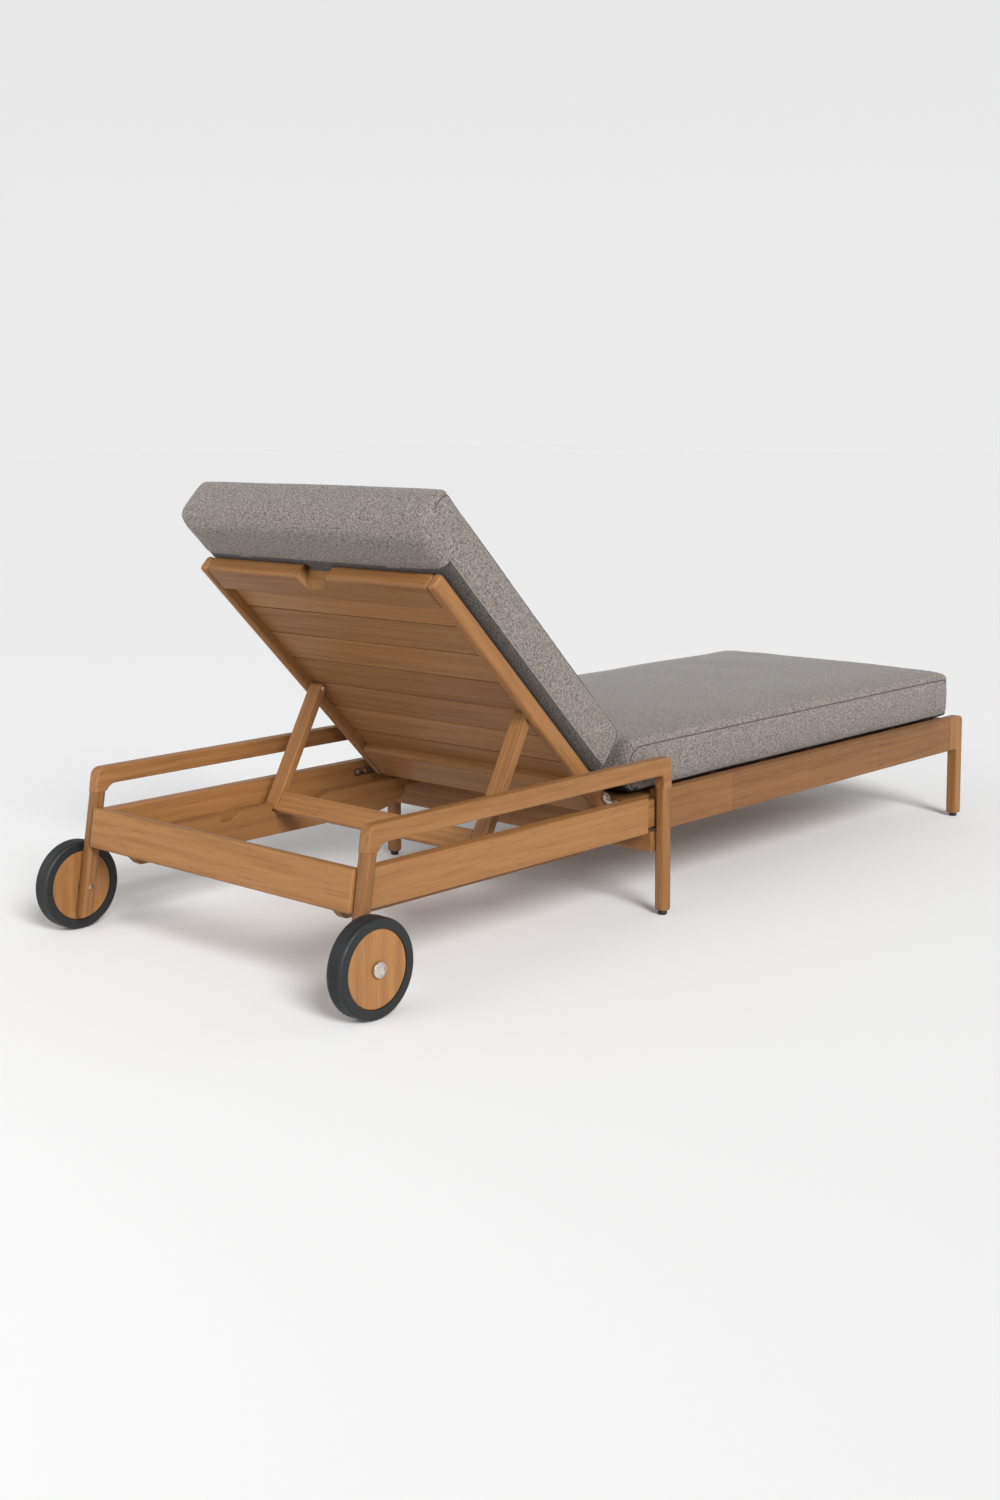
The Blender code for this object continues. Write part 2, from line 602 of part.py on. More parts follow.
# ---------------------------------------------------------------- wheels
def build_wheels():
    inner, outer = WHEEL_INNER, WHEEL_OUTER
    shoulder = 0.007
    crown = 0.0015
    tyre = [(inner + 0.001, DISC_RADIUS + FIT_GAP), (inner, DISC_RADIUS + 0.004),
            (inner, WHEEL_RADIUS - shoulder), (inner + 0.003, WHEEL_RADIUS - 0.0025),
            (inner + shoulder, WHEEL_RADIUS - crown / 3), ((inner + outer) / 2, WHEEL_RADIUS),
            (outer - shoulder, WHEEL_RADIUS - crown / 3), (outer - 0.003, WHEEL_RADIUS - 0.0025),
            (outer, WHEEL_RADIUS - shoulder), (outer, DISC_RADIUS + 0.004),
            (outer - 0.001, DISC_RADIUS + FIT_GAP)]
    disc_in, disc_out = inner + 0.0015, outer - 0.0015
    disc = [(disc_in, BUSH_RADIUS + FIT_GAP), (disc_in, DISC_RADIUS - 0.0015), (disc_in + 0.0015, DISC_RADIUS),
            (disc_out - 0.0015, DISC_RADIUS), (disc_out, DISC_RADIUS - 0.0015), (disc_out, BUSH_RADIUS + FIT_GAP)]
    bush = [(inner + 0.0005, AXLE_RADIUS + RUNNING_GAP), (inner + 0.0005, BUSH_RADIUS),
            (outer - 0.0005, BUSH_RADIUS), (outer - 0.0005, AXLE_RADIUS + RUNNING_GAP)]
    collar_out = inner - FIT_GAP
    collar_in = FRAME_HALF_WIDTH + FIT_GAP
    cap_in = outer + 0.0003
    cap_out = cap_in + CAP_THICKNESS
    axle = [(POST_INNER - 0.001, 0.0), (POST_INNER - 0.001, AXLE_RADIUS - 0.001), (POST_INNER, AXLE_RADIUS),
            (collar_in, AXLE_RADIUS), (collar_in, AXLE_COLLAR_RADIUS), (collar_out, AXLE_COLLAR_RADIUS),
            (collar_out, AXLE_RADIUS), (cap_in, AXLE_RADIUS), (cap_in, CAP_RADIUS),
            (cap_out - 0.0018, CAP_RADIUS), (cap_out - 0.0004, CAP_RADIUS - 0.002), (cap_out, CAP_RADIUS - 0.0045),
            (cap_out, 0.0)]
    for word, side in SIDES:
        centre = Vector((0, along(AXLE_STATION), WHEEL_RADIUS))
        hub = add_empty(f"axle_line_{word}", centre)
        turned_part(f"tyre_{word}", tyre, side, (0, 0, 0), RUBBER, hub, WHEEL_SEGMENTS)
        turned_part(f"wheel_disc_{word}", disc, side, (0, 0, 0), TEAK, hub, WHEEL_SEGMENTS)
        turned_part(f"wheel_bush_{word}", bush, side, (0, 0, 0), STEEL, hub, 24)
        turned_part(f"axle_{word}", axle, side, centre, STEEL, None, 24)


# ---------------------------------------------------------------- backrest
def build_hinges():
    y, z = HINGE_STATION, HINGE_HEIGHT
    eye = 0.0082
    strap_low, strap_high = 0.2005, 0.2165
    for word, side in SIDES:
        x_low, x_high = sorted((side * (RAIL_INNER - FIT_GAP - HINGE_PLATE_THICKNESS), side * (RAIL_INNER - FIT_GAP)))
        outline = [(y - eye, strap_low, 0.004), (y + 0.053, strap_low, 0.006), (y + 0.053, strap_high, 0.006),
                   (y + eye, strap_high, 0.002), (y + eye, z + eye, 0.0078), (y - eye, z + eye, 0.0078)]
        outline = [(along(station), height, radius) for station, height, radius in outline]
        plate = side_plate(f"hinge_plate_{word}", rounded_outline(outline, 4), x_low, x_high, 0, STEEL)
        drill(plate, f"hinge_eye_{word}", x_low - 0.01, x_high + 0.01, (along(y), z), HINGE_PIN_RADIUS + FIT_GAP)
        plate_in = RAIL_INNER - FIT_GAP - HINGE_PLATE_THICKNESS
        pin = [(STILE_OUTER - HINGE_PIN_BITE, 0.0), (STILE_OUTER - HINGE_PIN_BITE, HINGE_PIN_RADIUS),
               (STILE_OUTER + HINGE_STANDOFF, HINGE_PIN_RADIUS), (STILE_OUTER + HINGE_STANDOFF, HINGE_COLLAR_RADIUS),
               (plate_in - FIT_GAP, HINGE_COLLAR_RADIUS), (plate_in - FIT_GAP, HINGE_PIN_RADIUS),
               (RAIL_INNER - 2 * FIT_GAP, HINGE_PIN_RADIUS), (RAIL_INNER - 2 * FIT_GAP, 0.0)]
        turned_part(f"hinge_pin_{word}", pin, side, (0, along(y), z), STEEL, None, 20)


def build_backrest():
    """Everything is placed as on a back lowered flat; the empty on the hinge axis reclines it."""
    back = add_empty("backrest_axis", (0, along(HINGE_STATION), HINGE_HEIGHT), RECLINE)
    bottom = STILE_FRONT - STILE_DEPTH
    top = STILE_FRONT
    for word, side in SIDES:
        low, high = mirrored((STILE_INNER, STILE_START, bottom), (STILE_OUTER, STILE_END, top), side)
        stile = box_part(f"stile_{word}", low, high, STILE_EDGE, TEAK, back)
        drill(stile, f"pin_hole_{word}", side * (STILE_OUTER + 0.01), side * (STILE_OUTER - HINGE_PIN_BITE - FIT_GAP),
              (0, 0), HINGE_PIN_RADIUS + RUNNING_GAP, back)
        drill(stile, f"bolt_hole_{word}", side * (STILE_INNER - 0.01), side * (STILE_INNER + PROP_BOLT_BITE + FIT_GAP),
              (PROP_PIVOT_ALONG, -PROP_PIVOT_BEHIND), PROP_BOLT_RADIUS + FIT_GAP, back)
        bolt = [(PROP_LEG_INNER - FIT_GAP - PROP_BOLT_HEAD, 0.0),
                (PROP_LEG_INNER - FIT_GAP - PROP_BOLT_HEAD, PROP_BOLT_HEAD_RADIUS - 0.001),
                (PROP_LEG_INNER - FIT_GAP - 0.0005, PROP_BOLT_HEAD_RADIUS),
                (PROP_LEG_INNER - FIT_GAP, PROP_BOLT_HEAD_RADIUS),
                (PROP_LEG_INNER - FIT_GAP, PROP_BOLT_RADIUS),
                (STILE_INNER + PROP_BOLT_BITE, PROP_BOLT_RADIUS), (STILE_INNER + PROP_BOLT_BITE, 0.0)]
        turned_part(f"prop_bolt_{word}", bolt, side, (0, PROP_PIVOT_ALONG, -PROP_PIVOT_BEHIND),
                    STEEL, back, 16)

    half = STILE_INNER - FIT_GAP
    top_rail = box_part("top_rail", (-half, STILE_END - TOP_RAIL_WIDTH, bottom), (half, STILE_END, top),
                        0.007, TEAK, back)
    cut_finger_notch(top_rail, back)
    box_part("bottom_rail", (-half, STILE_START, bottom), (half, STILE_START + BOTTOM_RAIL_WIDTH, top),
             0.007, TEAK, back)
    rebate_rails(back)
    build_back_slats(back)
    low = (-CUSHION_HALF_WIDTH, BACK_CUSHION_START, top + CUSHION_LIFT)
    high = (CUSHION_HALF_WIDTH, BACK_CUSHION_END, top + CUSHION_LIFT + BACK_CUSHION_THICKNESS)
    box_part("back_cushion", low, high, CUSHION_ROUND, FABRIC, back)
    return back


def cut_finger_notch(rail, back):
    """A scoop for the fingers: a shallow gap in the top edge that runs out down the back face."""
    depth_top = STILE_END - NOTCH_DEPTH
    flare = 0.012
    mesh = bpy.data.meshes.new("finger_notch")
    bm = bmesh.new()
    bmesh.ops.create_cube(bm, size=1.0)
    back_face = STILE_FRONT - STILE_DEPTH
    for vert in bm.verts:
        on_back = vert.co.z < 0
        at_top = vert.co.y > 0
        width = NOTCH_HALF_WIDTH + (flare if at_top else -flare)
        vert.co.x = math.copysign(width, vert.co.x)
        vert.co.y = STILE_END + 0.02 if at_top else (STILE_END - SCOOP_DEPTH if on_back else depth_top)
        vert.co.z = back_face - 0.004 if on_back else STILE_FRONT + 0.01
    bm.to_mesh(mesh)
    bm.free()
    cut(rail, add_cutter("finger_notch", mesh, back))


def rebate_rails(back):
    """Rebates in the two rails' front halves, where the slats tuck in."""
    tuck = BACK_SLAT_TUCK
    floor = STILE_FRONT - BACK_SLAT_THICKNESS - FIT_GAP
    reach = STILE_INNER + 0.01
    top_start = STILE_END - TOP_RAIL_WIDTH
    top_cut = box_mesh((-reach, top_start - 0.01, floor),
                       (reach, top_start + tuck + FIT_GAP, STILE_FRONT + 0.01))
    bottom_end = STILE_START + BOTTOM_RAIL_WIDTH
    bottom_cut = box_mesh((-reach, bottom_end - BOTTOM_TUCK - FIT_GAP, floor),
                          (reach, bottom_end + 0.01, STILE_FRONT + 0.01))
    cut(bpy.data.objects["top_rail"], add_cutter("top_rebate", top_cut, back))
    cut(bpy.data.objects["bottom_rail"], add_cutter("bottom_rebate", bottom_cut, back))


BOTTOM_TUCK = 0.030


def build_back_slats(back):
    start = STILE_START + BOTTOM_RAIL_WIDTH - BOTTOM_TUCK
    end = STILE_END - TOP_RAIL_WIDTH + BACK_SLAT_TUCK
    pitch = (end - start + BACK_SLAT_JOINT) / BACK_SLAT_COUNT
    half = STILE_INNER - FIT_GAP
    for index in range(BACK_SLAT_COUNT):
        low = start + index * pitch
        box_part(f"back_slat_{index + 1}", (-half, low, STILE_FRONT - BACK_SLAT_THICKNESS),
                 (half, low + pitch - BACK_SLAT_JOINT, STILE_FRONT), 0.0012, TEAK, back, 1)


PROP_LEG_OUTER = STILE_INNER - FIT_GAP
PROP_LEG_INNER = PROP_LEG_OUTER - PROP_LEG_WIDTH


# ---------------------------------------------------------------- prop
def build_prop(back):
    """A frame of two legs and a bar that swings on the stiles; local +Y runs down the legs."""
    swing = add_empty("prop_axis", (0, PROP_PIVOT_ALONG, -PROP_PIVOT_BEHIND), -(RECLINE + PROP_DROP), back)
    half_thick = PROP_THICKNESS / 2
    for word, side in SIDES:
        x_low, x_high = sorted((side * PROP_LEG_INNER, side * PROP_LEG_OUTER))
        outline = [(-PROP_HEAD, -half_thick, half_thick * 0.98), (PROP_LEG_LENGTH, -half_thick, half_thick * 0.98),
                   (PROP_LEG_LENGTH, half_thick, half_thick * 0.98), (-PROP_HEAD, half_thick, half_thick * 0.98)]
        leg = side_plate(f"prop_leg_{word}", rounded_outline(outline), x_low, x_high, 0.002, TEAK, swing)
        drill(leg, f"leg_hole_{word}", x_low - 0.01, x_high + 0.01, (0, 0), PROP_BOLT_RADIUS + RUNNING_GAP, swing)
    half = PROP_LEG_INNER - FIT_GAP
    box_part("prop_bar", (-half, PROP_BAR_LENGTH - PROP_BAR_HEIGHT, -half_thick),
             (half, PROP_BAR_LENGTH, half_thick), 0.004, TEAK, swing)


def build_seat_cushion():
    floor = DECK_TOP + CUSHION_LIFT
    low = (-CUSHION_HALF_WIDTH, along(SEAT_CUSHION_START), floor)
    high = (CUSHION_HALF_WIDTH, along(SEAT_CUSHION_END), floor + SEAT_CUSHION_THICKNESS)
    box_part("seat_cushion", low, high, CUSHION_ROUND, FABRIC)


clear_scene()
PARTS = make_collection("sun_lounger")
CUTTERS = make_collection("cutters")
build_foot_section()
build_seat_slats()
build_cross_rail()
build_posts_and_arms()
build_head_section()
build_glides()
build_wheels()
build_hinges()
backrest = build_backrest()
build_prop(backrest)
build_seat_cushion()
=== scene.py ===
"""Looks of a reclining timber sun lounger: oiled teak, woven cushions, rubber tyres and steel fittings.

Axes: X runs across, Y along (foot end at -Y, wheels at +Y), Z up. All sizes are in metres.
"""
import json
import math

import bpy
from mathutils import Matrix, Vector, bvhtree, kdtree, noise


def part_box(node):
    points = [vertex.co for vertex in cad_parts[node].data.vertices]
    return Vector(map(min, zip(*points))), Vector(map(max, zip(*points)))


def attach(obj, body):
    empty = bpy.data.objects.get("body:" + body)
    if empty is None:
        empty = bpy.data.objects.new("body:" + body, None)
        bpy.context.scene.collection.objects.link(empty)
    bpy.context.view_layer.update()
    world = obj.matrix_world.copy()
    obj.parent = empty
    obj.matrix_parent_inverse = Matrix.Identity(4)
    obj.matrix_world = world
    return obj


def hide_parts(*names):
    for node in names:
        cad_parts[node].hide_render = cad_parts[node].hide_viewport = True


bl_info = {
    "name": "Reclining sun lounger",
    "version": (1, 0, 0),
    "blender": (4, 5, 0),
    "location": "View3D > Sidebar > Lounger",
    "description": "Finishes the parts of a teak sun lounger and sets up a plain studio",
    "category": "Object",
}

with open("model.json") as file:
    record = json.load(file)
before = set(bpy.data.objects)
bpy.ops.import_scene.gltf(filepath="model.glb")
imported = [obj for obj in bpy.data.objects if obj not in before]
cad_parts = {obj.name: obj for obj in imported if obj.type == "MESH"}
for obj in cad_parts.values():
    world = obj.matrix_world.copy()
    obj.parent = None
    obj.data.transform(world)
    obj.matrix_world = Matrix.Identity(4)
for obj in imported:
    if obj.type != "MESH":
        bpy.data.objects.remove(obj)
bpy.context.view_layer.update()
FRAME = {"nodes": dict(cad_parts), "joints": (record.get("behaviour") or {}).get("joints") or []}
SIDES = (("left", 1), ("right", -1))
JOINTS = {joint["name"]: joint for joint in FRAME["joints"]}
RECLINE = math.radians(45.0)    # slope of the backrest as built
RAKE = math.radians(9.3)        # lean of the wheel posts, top towards the foot
PROP_DROP = math.radians(61.2)  # slope of the prop's legs below level
HINGE = Vector(JOINTS["backrest_hinge"]["pos_m"])
PROP_PIVOT = Vector(JOINTS["prop_swing"]["pos_m"])
AXLE = {word: Vector(JOINTS[f"wheel_{word}_spin"]["pos_m"]) for word, side in SIDES}

PROP_TOE_END = 0.2635           # from the prop's pivot to the tip of its toes
PROP_TOE_LENGTH = 0.0505
PROP_TOE_THICKNESS = 0.0171
TOE_PROUD = 0.0001              # the toe is this much wider than its leg, so no faces coincide
RUNNING_GAP = 0.0003            # between pieces that nearly touch
AXLE_RADIUS = 0.0055
AXLE_LENGTH = 0.058
AXLE_SETBACK = 0.012            # the axle's middle, inwards from the wheel's
CAP_RADIUS = 0.0132
STRAP_THICKNESS = 0.0026
STRAP_LENGTH = 0.0440
STRAP_WIDTH = 0.0158
STRAP_MIDDLE = 0.008            # along the back from the hinge line
SCREW_THICKNESS = 0.0016
FILL_FRAMES = 20                # length of the cushions' filling, in frames
FIRMNESS = 0.72                 # share of the boxed foam shape that a filled cushion keeps
SEAM_CORNER = 0.026             # radius of a seam's corners
SEAM_PULL = 0.0030              # how far a seam draws the cover in

# how far each timber piece's grain is turned from the lounger's length, about X and about Z
GRAIN_TURN = {
    "along": (0.0, 0.0),
    "across": (0.0, math.radians(90)),
    "upright": (math.radians(-90), 0.0),
    "raked": (math.radians(-99.3), 0.0),
    "reclined": (-RECLINE, 0.0),
    "propped": (PROP_DROP, 0.0),
}


# ---------------------------------------------------------------- settings a user would change
class LoungerColours(bpy.types.PropertyGroup):
    """Colours of the lounger's finishes."""

    teak_light: bpy.props.FloatVectorProperty(
        name="Teak light", description="Palest streaks of the timber", subtype="COLOR", size=4,
        min=0.0, max=1.0, default=(0.365, 0.182, 0.064, 1.0))
    teak_middle: bpy.props.FloatVectorProperty(
        name="Teak middle", description="Main colour of the timber", subtype="COLOR", size=4,
        min=0.0, max=1.0, default=(0.288, 0.131, 0.043, 1.0))
    teak_dark: bpy.props.FloatVectorProperty(
        name="Teak dark", description="Darkest streaks of the timber", subtype="COLOR", size=4,
        min=0.0, max=1.0, default=(0.180, 0.074, 0.021, 1.0))
    thread_light: bpy.props.FloatVectorProperty(
        name="Light thread", description="Palest threads of the cushion cloth", subtype="COLOR", size=4,
        min=0.0, max=1.0, default=(0.330, 0.290, 0.260, 1.0))
    thread_dark: bpy.props.FloatVectorProperty(
        name="Dark thread", description="Darkest threads of the cushion cloth", subtype="COLOR", size=4,
        min=0.0, max=1.0, default=(0.060, 0.051, 0.046, 1.0))
    underside: bpy.props.FloatVectorProperty(
        name="Underside", description="Non-slip cloth under the seat cushion", subtype="COLOR", size=4,
        min=0.0, max=1.0, default=(0.028, 0.032, 0.036, 1.0))
    rubber: bpy.props.FloatVectorProperty(
        name="Rubber", description="Tyres and glides", subtype="COLOR", size=4,
        min=0.0, max=1.0, default=(0.0070, 0.0080, 0.0090, 1.0))
    steel: bpy.props.FloatVectorProperty(
        name="Steel", description="Hinges, bolts and wheel caps", subtype="COLOR", size=4,
        min=0.0, max=1.0, default=(0.66, 0.62, 0.57, 1.0))


class LoungerSizes(bpy.types.PropertyGroup):
    """Sizes of the small details."""

    groove_depth: bpy.props.FloatProperty(
        name="Groove depth", description="Depth of the grooves round a tyre", default=0.0011,
        min=0.0002, max=0.003, unit="LENGTH", precision=4)
    groove_spacing: bpy.props.FloatProperty(
        name="Groove spacing", description="Distance between a tyre's grooves", default=0.0038,
        min=0.002, max=0.008, unit="LENGTH", precision=4)
    seam_radius: bpy.props.FloatProperty(
        name="Seam radius", description="Half the width of a cushion's stitched seam", default=0.0013,
        min=0.0005, max=0.004, unit="LENGTH", precision=4)
    cushion_mesh: bpy.props.FloatProperty(
        name="Cushion mesh", description="Size of the faces that a cushion is filled with", default=0.0095,
        min=0.005, max=0.03, unit="LENGTH", precision=4)
    cushion_swell: bpy.props.FloatProperty(
        name="Cushion swell", description="Most that the filling may push the cloth out", default=0.024,
        min=0.005, max=0.04, unit="LENGTH", precision=3)
    screw_radius: bpy.props.FloatProperty(
        name="Screw radius", description="Half the width of a screw's head", default=0.0036,
        min=0.002, max=0.006, unit="LENGTH", precision=4)


def colours():
    return bpy.context.scene.lounger_colours


def sizes():
    return bpy.context.scene.lounger_sizes


# ---------------------------------------------------------------- materials
def new_material(name):
    material = bpy.data.materials.new(name)
    material.use_nodes = True
    return material, material.node_tree.nodes, material.node_tree.links


def add_node(nodes, kind, **values):
    """A node with plain settings and, under inputs, the values of its unlinked sockets."""
    node = nodes.new(kind)
    for socket, value in values.pop("inputs", {}).items():
        node.inputs[socket].default_value = value
    for setting, value in values.items():
        setattr(node, setting, value)
    return node


def add_ramp(nodes, stops):
    ramp = nodes.new("ShaderNodeValToRGB")
    elements = ramp.color_ramp.elements
    while len(elements) < len(stops):
        elements.new(0.5)
    for element, (place, colour) in zip(elements, stops):
        element.position = place
        element.color = colour
    return ramp


def grey(value):
    return (value, value, value, 1.0)


def teak(grain, staves=False):
    """Oiled teak with its grain along one direction; a piece's board attribute picks its own streaks."""
    name = f"teak_{grain}" + ("_jointed" if staves else "")
    if name in bpy.data.materials:
        return bpy.data.materials[name]
    material, nodes, links = new_material(name)
    shader = nodes["Principled BSDF"]
    shader.inputs["Specular IOR Level"].default_value = 0.32
    shader.inputs["Coat Weight"].default_value = 0.04
    shader.inputs["Coat Roughness"].default_value = 0.35
    tilt, swing = GRAIN_TURN[grain]
    place = add_node(nodes, "ShaderNodeTexCoord")
    turned = add_node(nodes, "ShaderNodeMapping", inputs={"Rotation": (tilt, 0.0, swing)})
    board = add_node(nodes, "ShaderNodeAttribute", attribute_name="board")
    shifted = add_node(nodes, "ShaderNodeVectorMath", operation="MULTIPLY_ADD")
    shifted.inputs[1].default_value = (5.3, 7.9, 3.7)
    links.new(place.outputs["Object"], turned.inputs["Vector"])
    links.new(board.outputs["Vector"], shifted.inputs[0])
    links.new(turned.outputs["Vector"], shifted.inputs[2])

    def streaks(scale, detail, roughness, distortion):
        stretch = add_node(nodes, "ShaderNodeMapping", inputs={"Scale": scale})
        pattern = add_node(nodes, "ShaderNodeTexNoise", inputs={
            "Scale": 1.0, "Detail": detail, "Roughness": roughness, "Distortion": distortion})
        links.new(shifted.outputs["Vector"], stretch.inputs["Vector"])
        links.new(stretch.outputs["Vector"], pattern.inputs["Vector"])
        return pattern.outputs["Fac"]

    def blend(kind, factor, first, second):
        mix = add_node(nodes, "ShaderNodeMix", data_type="RGBA", blend_type=kind)
        mix.inputs["Factor"].default_value = factor
        for socket, value in ((6, first), (7, second)):
            if isinstance(value, tuple):
                mix.inputs[socket].default_value = value
            else:
                links.new(value, mix.inputs[socket])
        return mix.outputs[2]

    figure = streaks((34.0, 1.3, 34.0), 4.0, 0.55, 0.6)
    fibre = streaks((260.0, 6.0, 260.0), 3.0, 0.6, 0.2)
    pores = streaks((720.0, 26.0, 720.0), 1.0, 0.5, 0.0)
    rings_stretch = add_node(nodes, "ShaderNodeMapping", inputs={"Scale": (1.0, 0.055, 0.8),
                                                                 "Rotation": (0.0, 0.5, 0.0)})
    rings = add_node(nodes, "ShaderNodeTexWave", wave_type="BANDS", bands_direction="X", inputs={
        "Scale": 26.0, "Distortion": 7.0, "Detail": 2.5, "Detail Scale": 1.3, "Detail Roughness": 0.55})
    links.new(shifted.outputs["Vector"], rings_stretch.inputs["Vector"])
    links.new(rings_stretch.outputs["Vector"], rings.inputs["Vector"])
    mixed = blend("MIX", 0.20, figure, rings.outputs["Fac"])
    mixed = blend("MIX", 0.45, mixed, fibre)
    c = colours()
    tint = add_ramp(nodes, [(0.22, tuple(c.teak_dark)), (0.50, tuple(c.teak_middle)),
                            (0.80, tuple(c.teak_light))])
    links.new(mixed, tint.inputs["Fac"])
    pore_ramp = add_ramp(nodes, [(0.30, grey(0.62)), (0.42, grey(1.0))])
    links.new(pores, pore_ramp.inputs["Fac"])
    coloured = blend("MULTIPLY", 0.55, tint.outputs["Color"], pore_ramp.outputs["Color"])
    tone = add_ramp(nodes, [(0.0, (0.76, 0.73, 0.68, 1.0)), (0.2, (0.90, 0.88, 0.85, 1.0)), (0.6, grey(1.0)),
                           (1.0, (1.12, 1.13, 1.15, 1.0))])
    links.new(board.outputs["Fac"], tone.inputs["Fac"])
    coloured = blend("MULTIPLY", 1.0, coloured, tone.outputs["Color"])
    if staves:
        # the long rail is glued up end to end from short staves, each with its own tone
        split = add_node(nodes, "ShaderNodeSeparateXYZ")
        links.new(place.outputs["Object"], split.inputs["Vector"])
        steps = add_node(nodes, "ShaderNodeMath", operation="MULTIPLY_ADD", inputs={1: 3.6, 2: 0.35})
        links.new(split.outputs["Y"], steps.inputs[0])
        whole = add_node(nodes, "ShaderNodeMath", operation="FLOOR")
        links.new(steps.outputs[0], whole.inputs[0])
        pick = add_node(nodes, "ShaderNodeTexWhiteNoise", noise_dimensions="1D")
        links.new(whole.outputs[0], pick.inputs["W"])
        stave = add_ramp(nodes, [(0.0, (0.80, 0.77, 0.74, 1.0)), (1.0, (1.08, 1.07, 1.05, 1.0))])
        links.new(pick.outputs["Value"], stave.inputs["Fac"])
        coloured = blend("MULTIPLY", 0.8, coloured, stave.outputs["Color"])
        part = add_node(nodes, "ShaderNodeMath", operation="FRACT")
        links.new(steps.outputs[0], part.inputs[0])
        edge = add_ramp(nodes, [(0.0, (1.16, 1.14, 1.1, 1.0)), (0.035, grey(1.0))])
        links.new(part.outputs[0], edge.inputs["Fac"])
        coloured = blend("MULTIPLY", 0.8, coloured, edge.outputs["Color"])
    links.new(coloured, shader.inputs["Base Color"])
    sheen = add_ramp(nodes, [(0.3, grey(0.58)), (0.7, grey(0.44))])
    links.new(fibre, sheen.inputs["Fac"])
    links.new(sheen.outputs["Color"], shader.inputs["Roughness"])
    relief = add_node(nodes, "ShaderNodeBump", inputs={"Strength": 0.22, "Distance": 0.0006})
    links.new(blend("MULTIPLY", 1.0, fibre, pore_ramp.outputs["Color"]), relief.inputs["Height"])
    links.new(relief.outputs["Normal"], shader.inputs["Normal"])
    return material


def woven_cloth(name, tilt=0.0, shade=1.0):
    """Grey-brown cloth woven from mixed threads; tilt turns the weave about X, and shade below 1 darkens its
    colour, which paints shade into the cloth.
    """
    if name in bpy.data.materials:
        return bpy.data.materials[name]
    material, nodes, links = new_material(name)
    shader = nodes["Principled BSDF"]
    shader.inputs["Roughness"].default_value = 0.92
    shader.inputs["Specular IOR Level"].default_value = 0.12
    shader.inputs["Sheen Weight"].default_value = 0.22
    shader.inputs["Sheen Roughness"].default_value = 0.5
    place = add_node(nodes, "ShaderNodeTexCoord")
    turned = add_node(nodes, "ShaderNodeMapping", inputs={"Rotation": (tilt, 0.0, 0.0)})
    links.new(place.outputs["Object"], turned.inputs["Vector"])

    def threads(scale, detail):
        stretch = add_node(nodes, "ShaderNodeMapping", inputs={"Scale": scale})
        pattern = add_node(nodes, "ShaderNodeTexNoise", inputs={
            "Scale": 1.0, "Detail": detail, "Roughness": 0.7})
        links.new(turned.outputs["Vector"], stretch.inputs["Vector"])
        links.new(stretch.outputs["Vector"], pattern.inputs["Vector"])
        return pattern.outputs["Fac"]

    def lighter(first, second, factor):
        mix = add_node(nodes, "ShaderNodeMix", data_type="FLOAT", inputs={"Factor": factor})
        links.new(first, mix.inputs[2])
        links.new(second, mix.inputs[3])
        return mix.outputs[0]

    weft = threads((210.0, 560.0, 560.0), 1.0)
    warp = threads((560.0, 210.0, 260.0), 1.0)
    flecks = threads((330.0, 330.0, 330.0), 1.5)
    weave = lighter(weft, warp, 0.5)
    mixed = lighter(weave, flecks, 0.42)
    c = colours()
    # painted shade: a shade below 1 darkens every thread colour of the cloth
    pale = [value * shade for value in c.thread_light[:3]] + [1.0]
    deep = [value * shade for value in c.thread_dark[:3]] + [1.0]
    middle = [(a + b) / 2 for a, b in zip(pale, deep)]
    tint = add_ramp(nodes, [(0.38, deep), (0.50, middle), (0.63, pale)])
    links.new(mixed, tint.inputs["Fac"])
    links.new(tint.outputs["Color"], shader.inputs["Base Color"])
    relief = add_node(nodes, "ShaderNodeBump", inputs={"Strength": 0.55, "Distance": 0.0009})
    links.new(weave, relief.inputs["Height"])
    links.new(relief.outputs["Normal"], shader.inputs["Normal"])
    return material


def plain_finish(name, colour, roughness, metallic=0.0, speckle=(60.0, 0.12)):
    """A single-colour finish whose gloss varies a little over the surface."""
    if name in bpy.data.materials:
        return bpy.data.materials[name]
    material, nodes, links = new_material(name)
    shader = nodes["Principled BSDF"]
    shader.inputs["Metallic"].default_value = metallic
    place = add_node(nodes, "ShaderNodeTexCoord")
    pattern = add_node(nodes, "ShaderNodeTexNoise", inputs={"Scale": speckle[0], "Detail": 3.0})
    links.new(place.outputs["Object"], pattern.inputs["Vector"])
    smoothest, roughest = max(roughness - speckle[1], 0.05), roughness + speckle[1]
    gloss = add_ramp(nodes, [(0.3, grey(smoothest)), (0.7, grey(roughest))])
    links.new(pattern.outputs["Fac"], gloss.inputs["Fac"])
    links.new(gloss.outputs["Color"], shader.inputs["Roughness"])
    darker = [value * 0.88 for value in colour[:3]] + [1.0]
    lighter = [min(value * 1.1, 1.0) for value in colour[:3]] + [1.0]
    tint = add_ramp(nodes, [(0.3, darker), (0.7, lighter)])
    links.new(pattern.outputs["Fac"], tint.inputs["Fac"])
    links.new(tint.outputs["Color"], shader.inputs["Base Color"])
    return material


def rubber():
    return plain_finish("black_rubber", colours().rubber, 0.52, 0.0, (90.0, 0.08))


def steel():
    return plain_finish("satin_steel", colours().steel, 0.30, 1.0, (140.0, 0.07))


# ---------------------------------------------------------------- mesh helpers
def select_only(obj):
    """Make one object the selected and active one."""
    if bpy.context.object and bpy.context.object.mode != "OBJECT":
        bpy.ops.object.mode_set(mode="OBJECT")
    bpy.ops.object.select_all(action="DESELECT")
    obj.hide_set(False)
    obj.select_set(True)
    bpy.context.view_layer.objects.active = obj


def edit_mode(obj, domain="FACE"):
    select_only(obj)
    bpy.ops.object.mode_set(mode="EDIT")
    bpy.ops.mesh.select_mode(type=domain)
    bpy.ops.mesh.select_all(action="DESELECT")


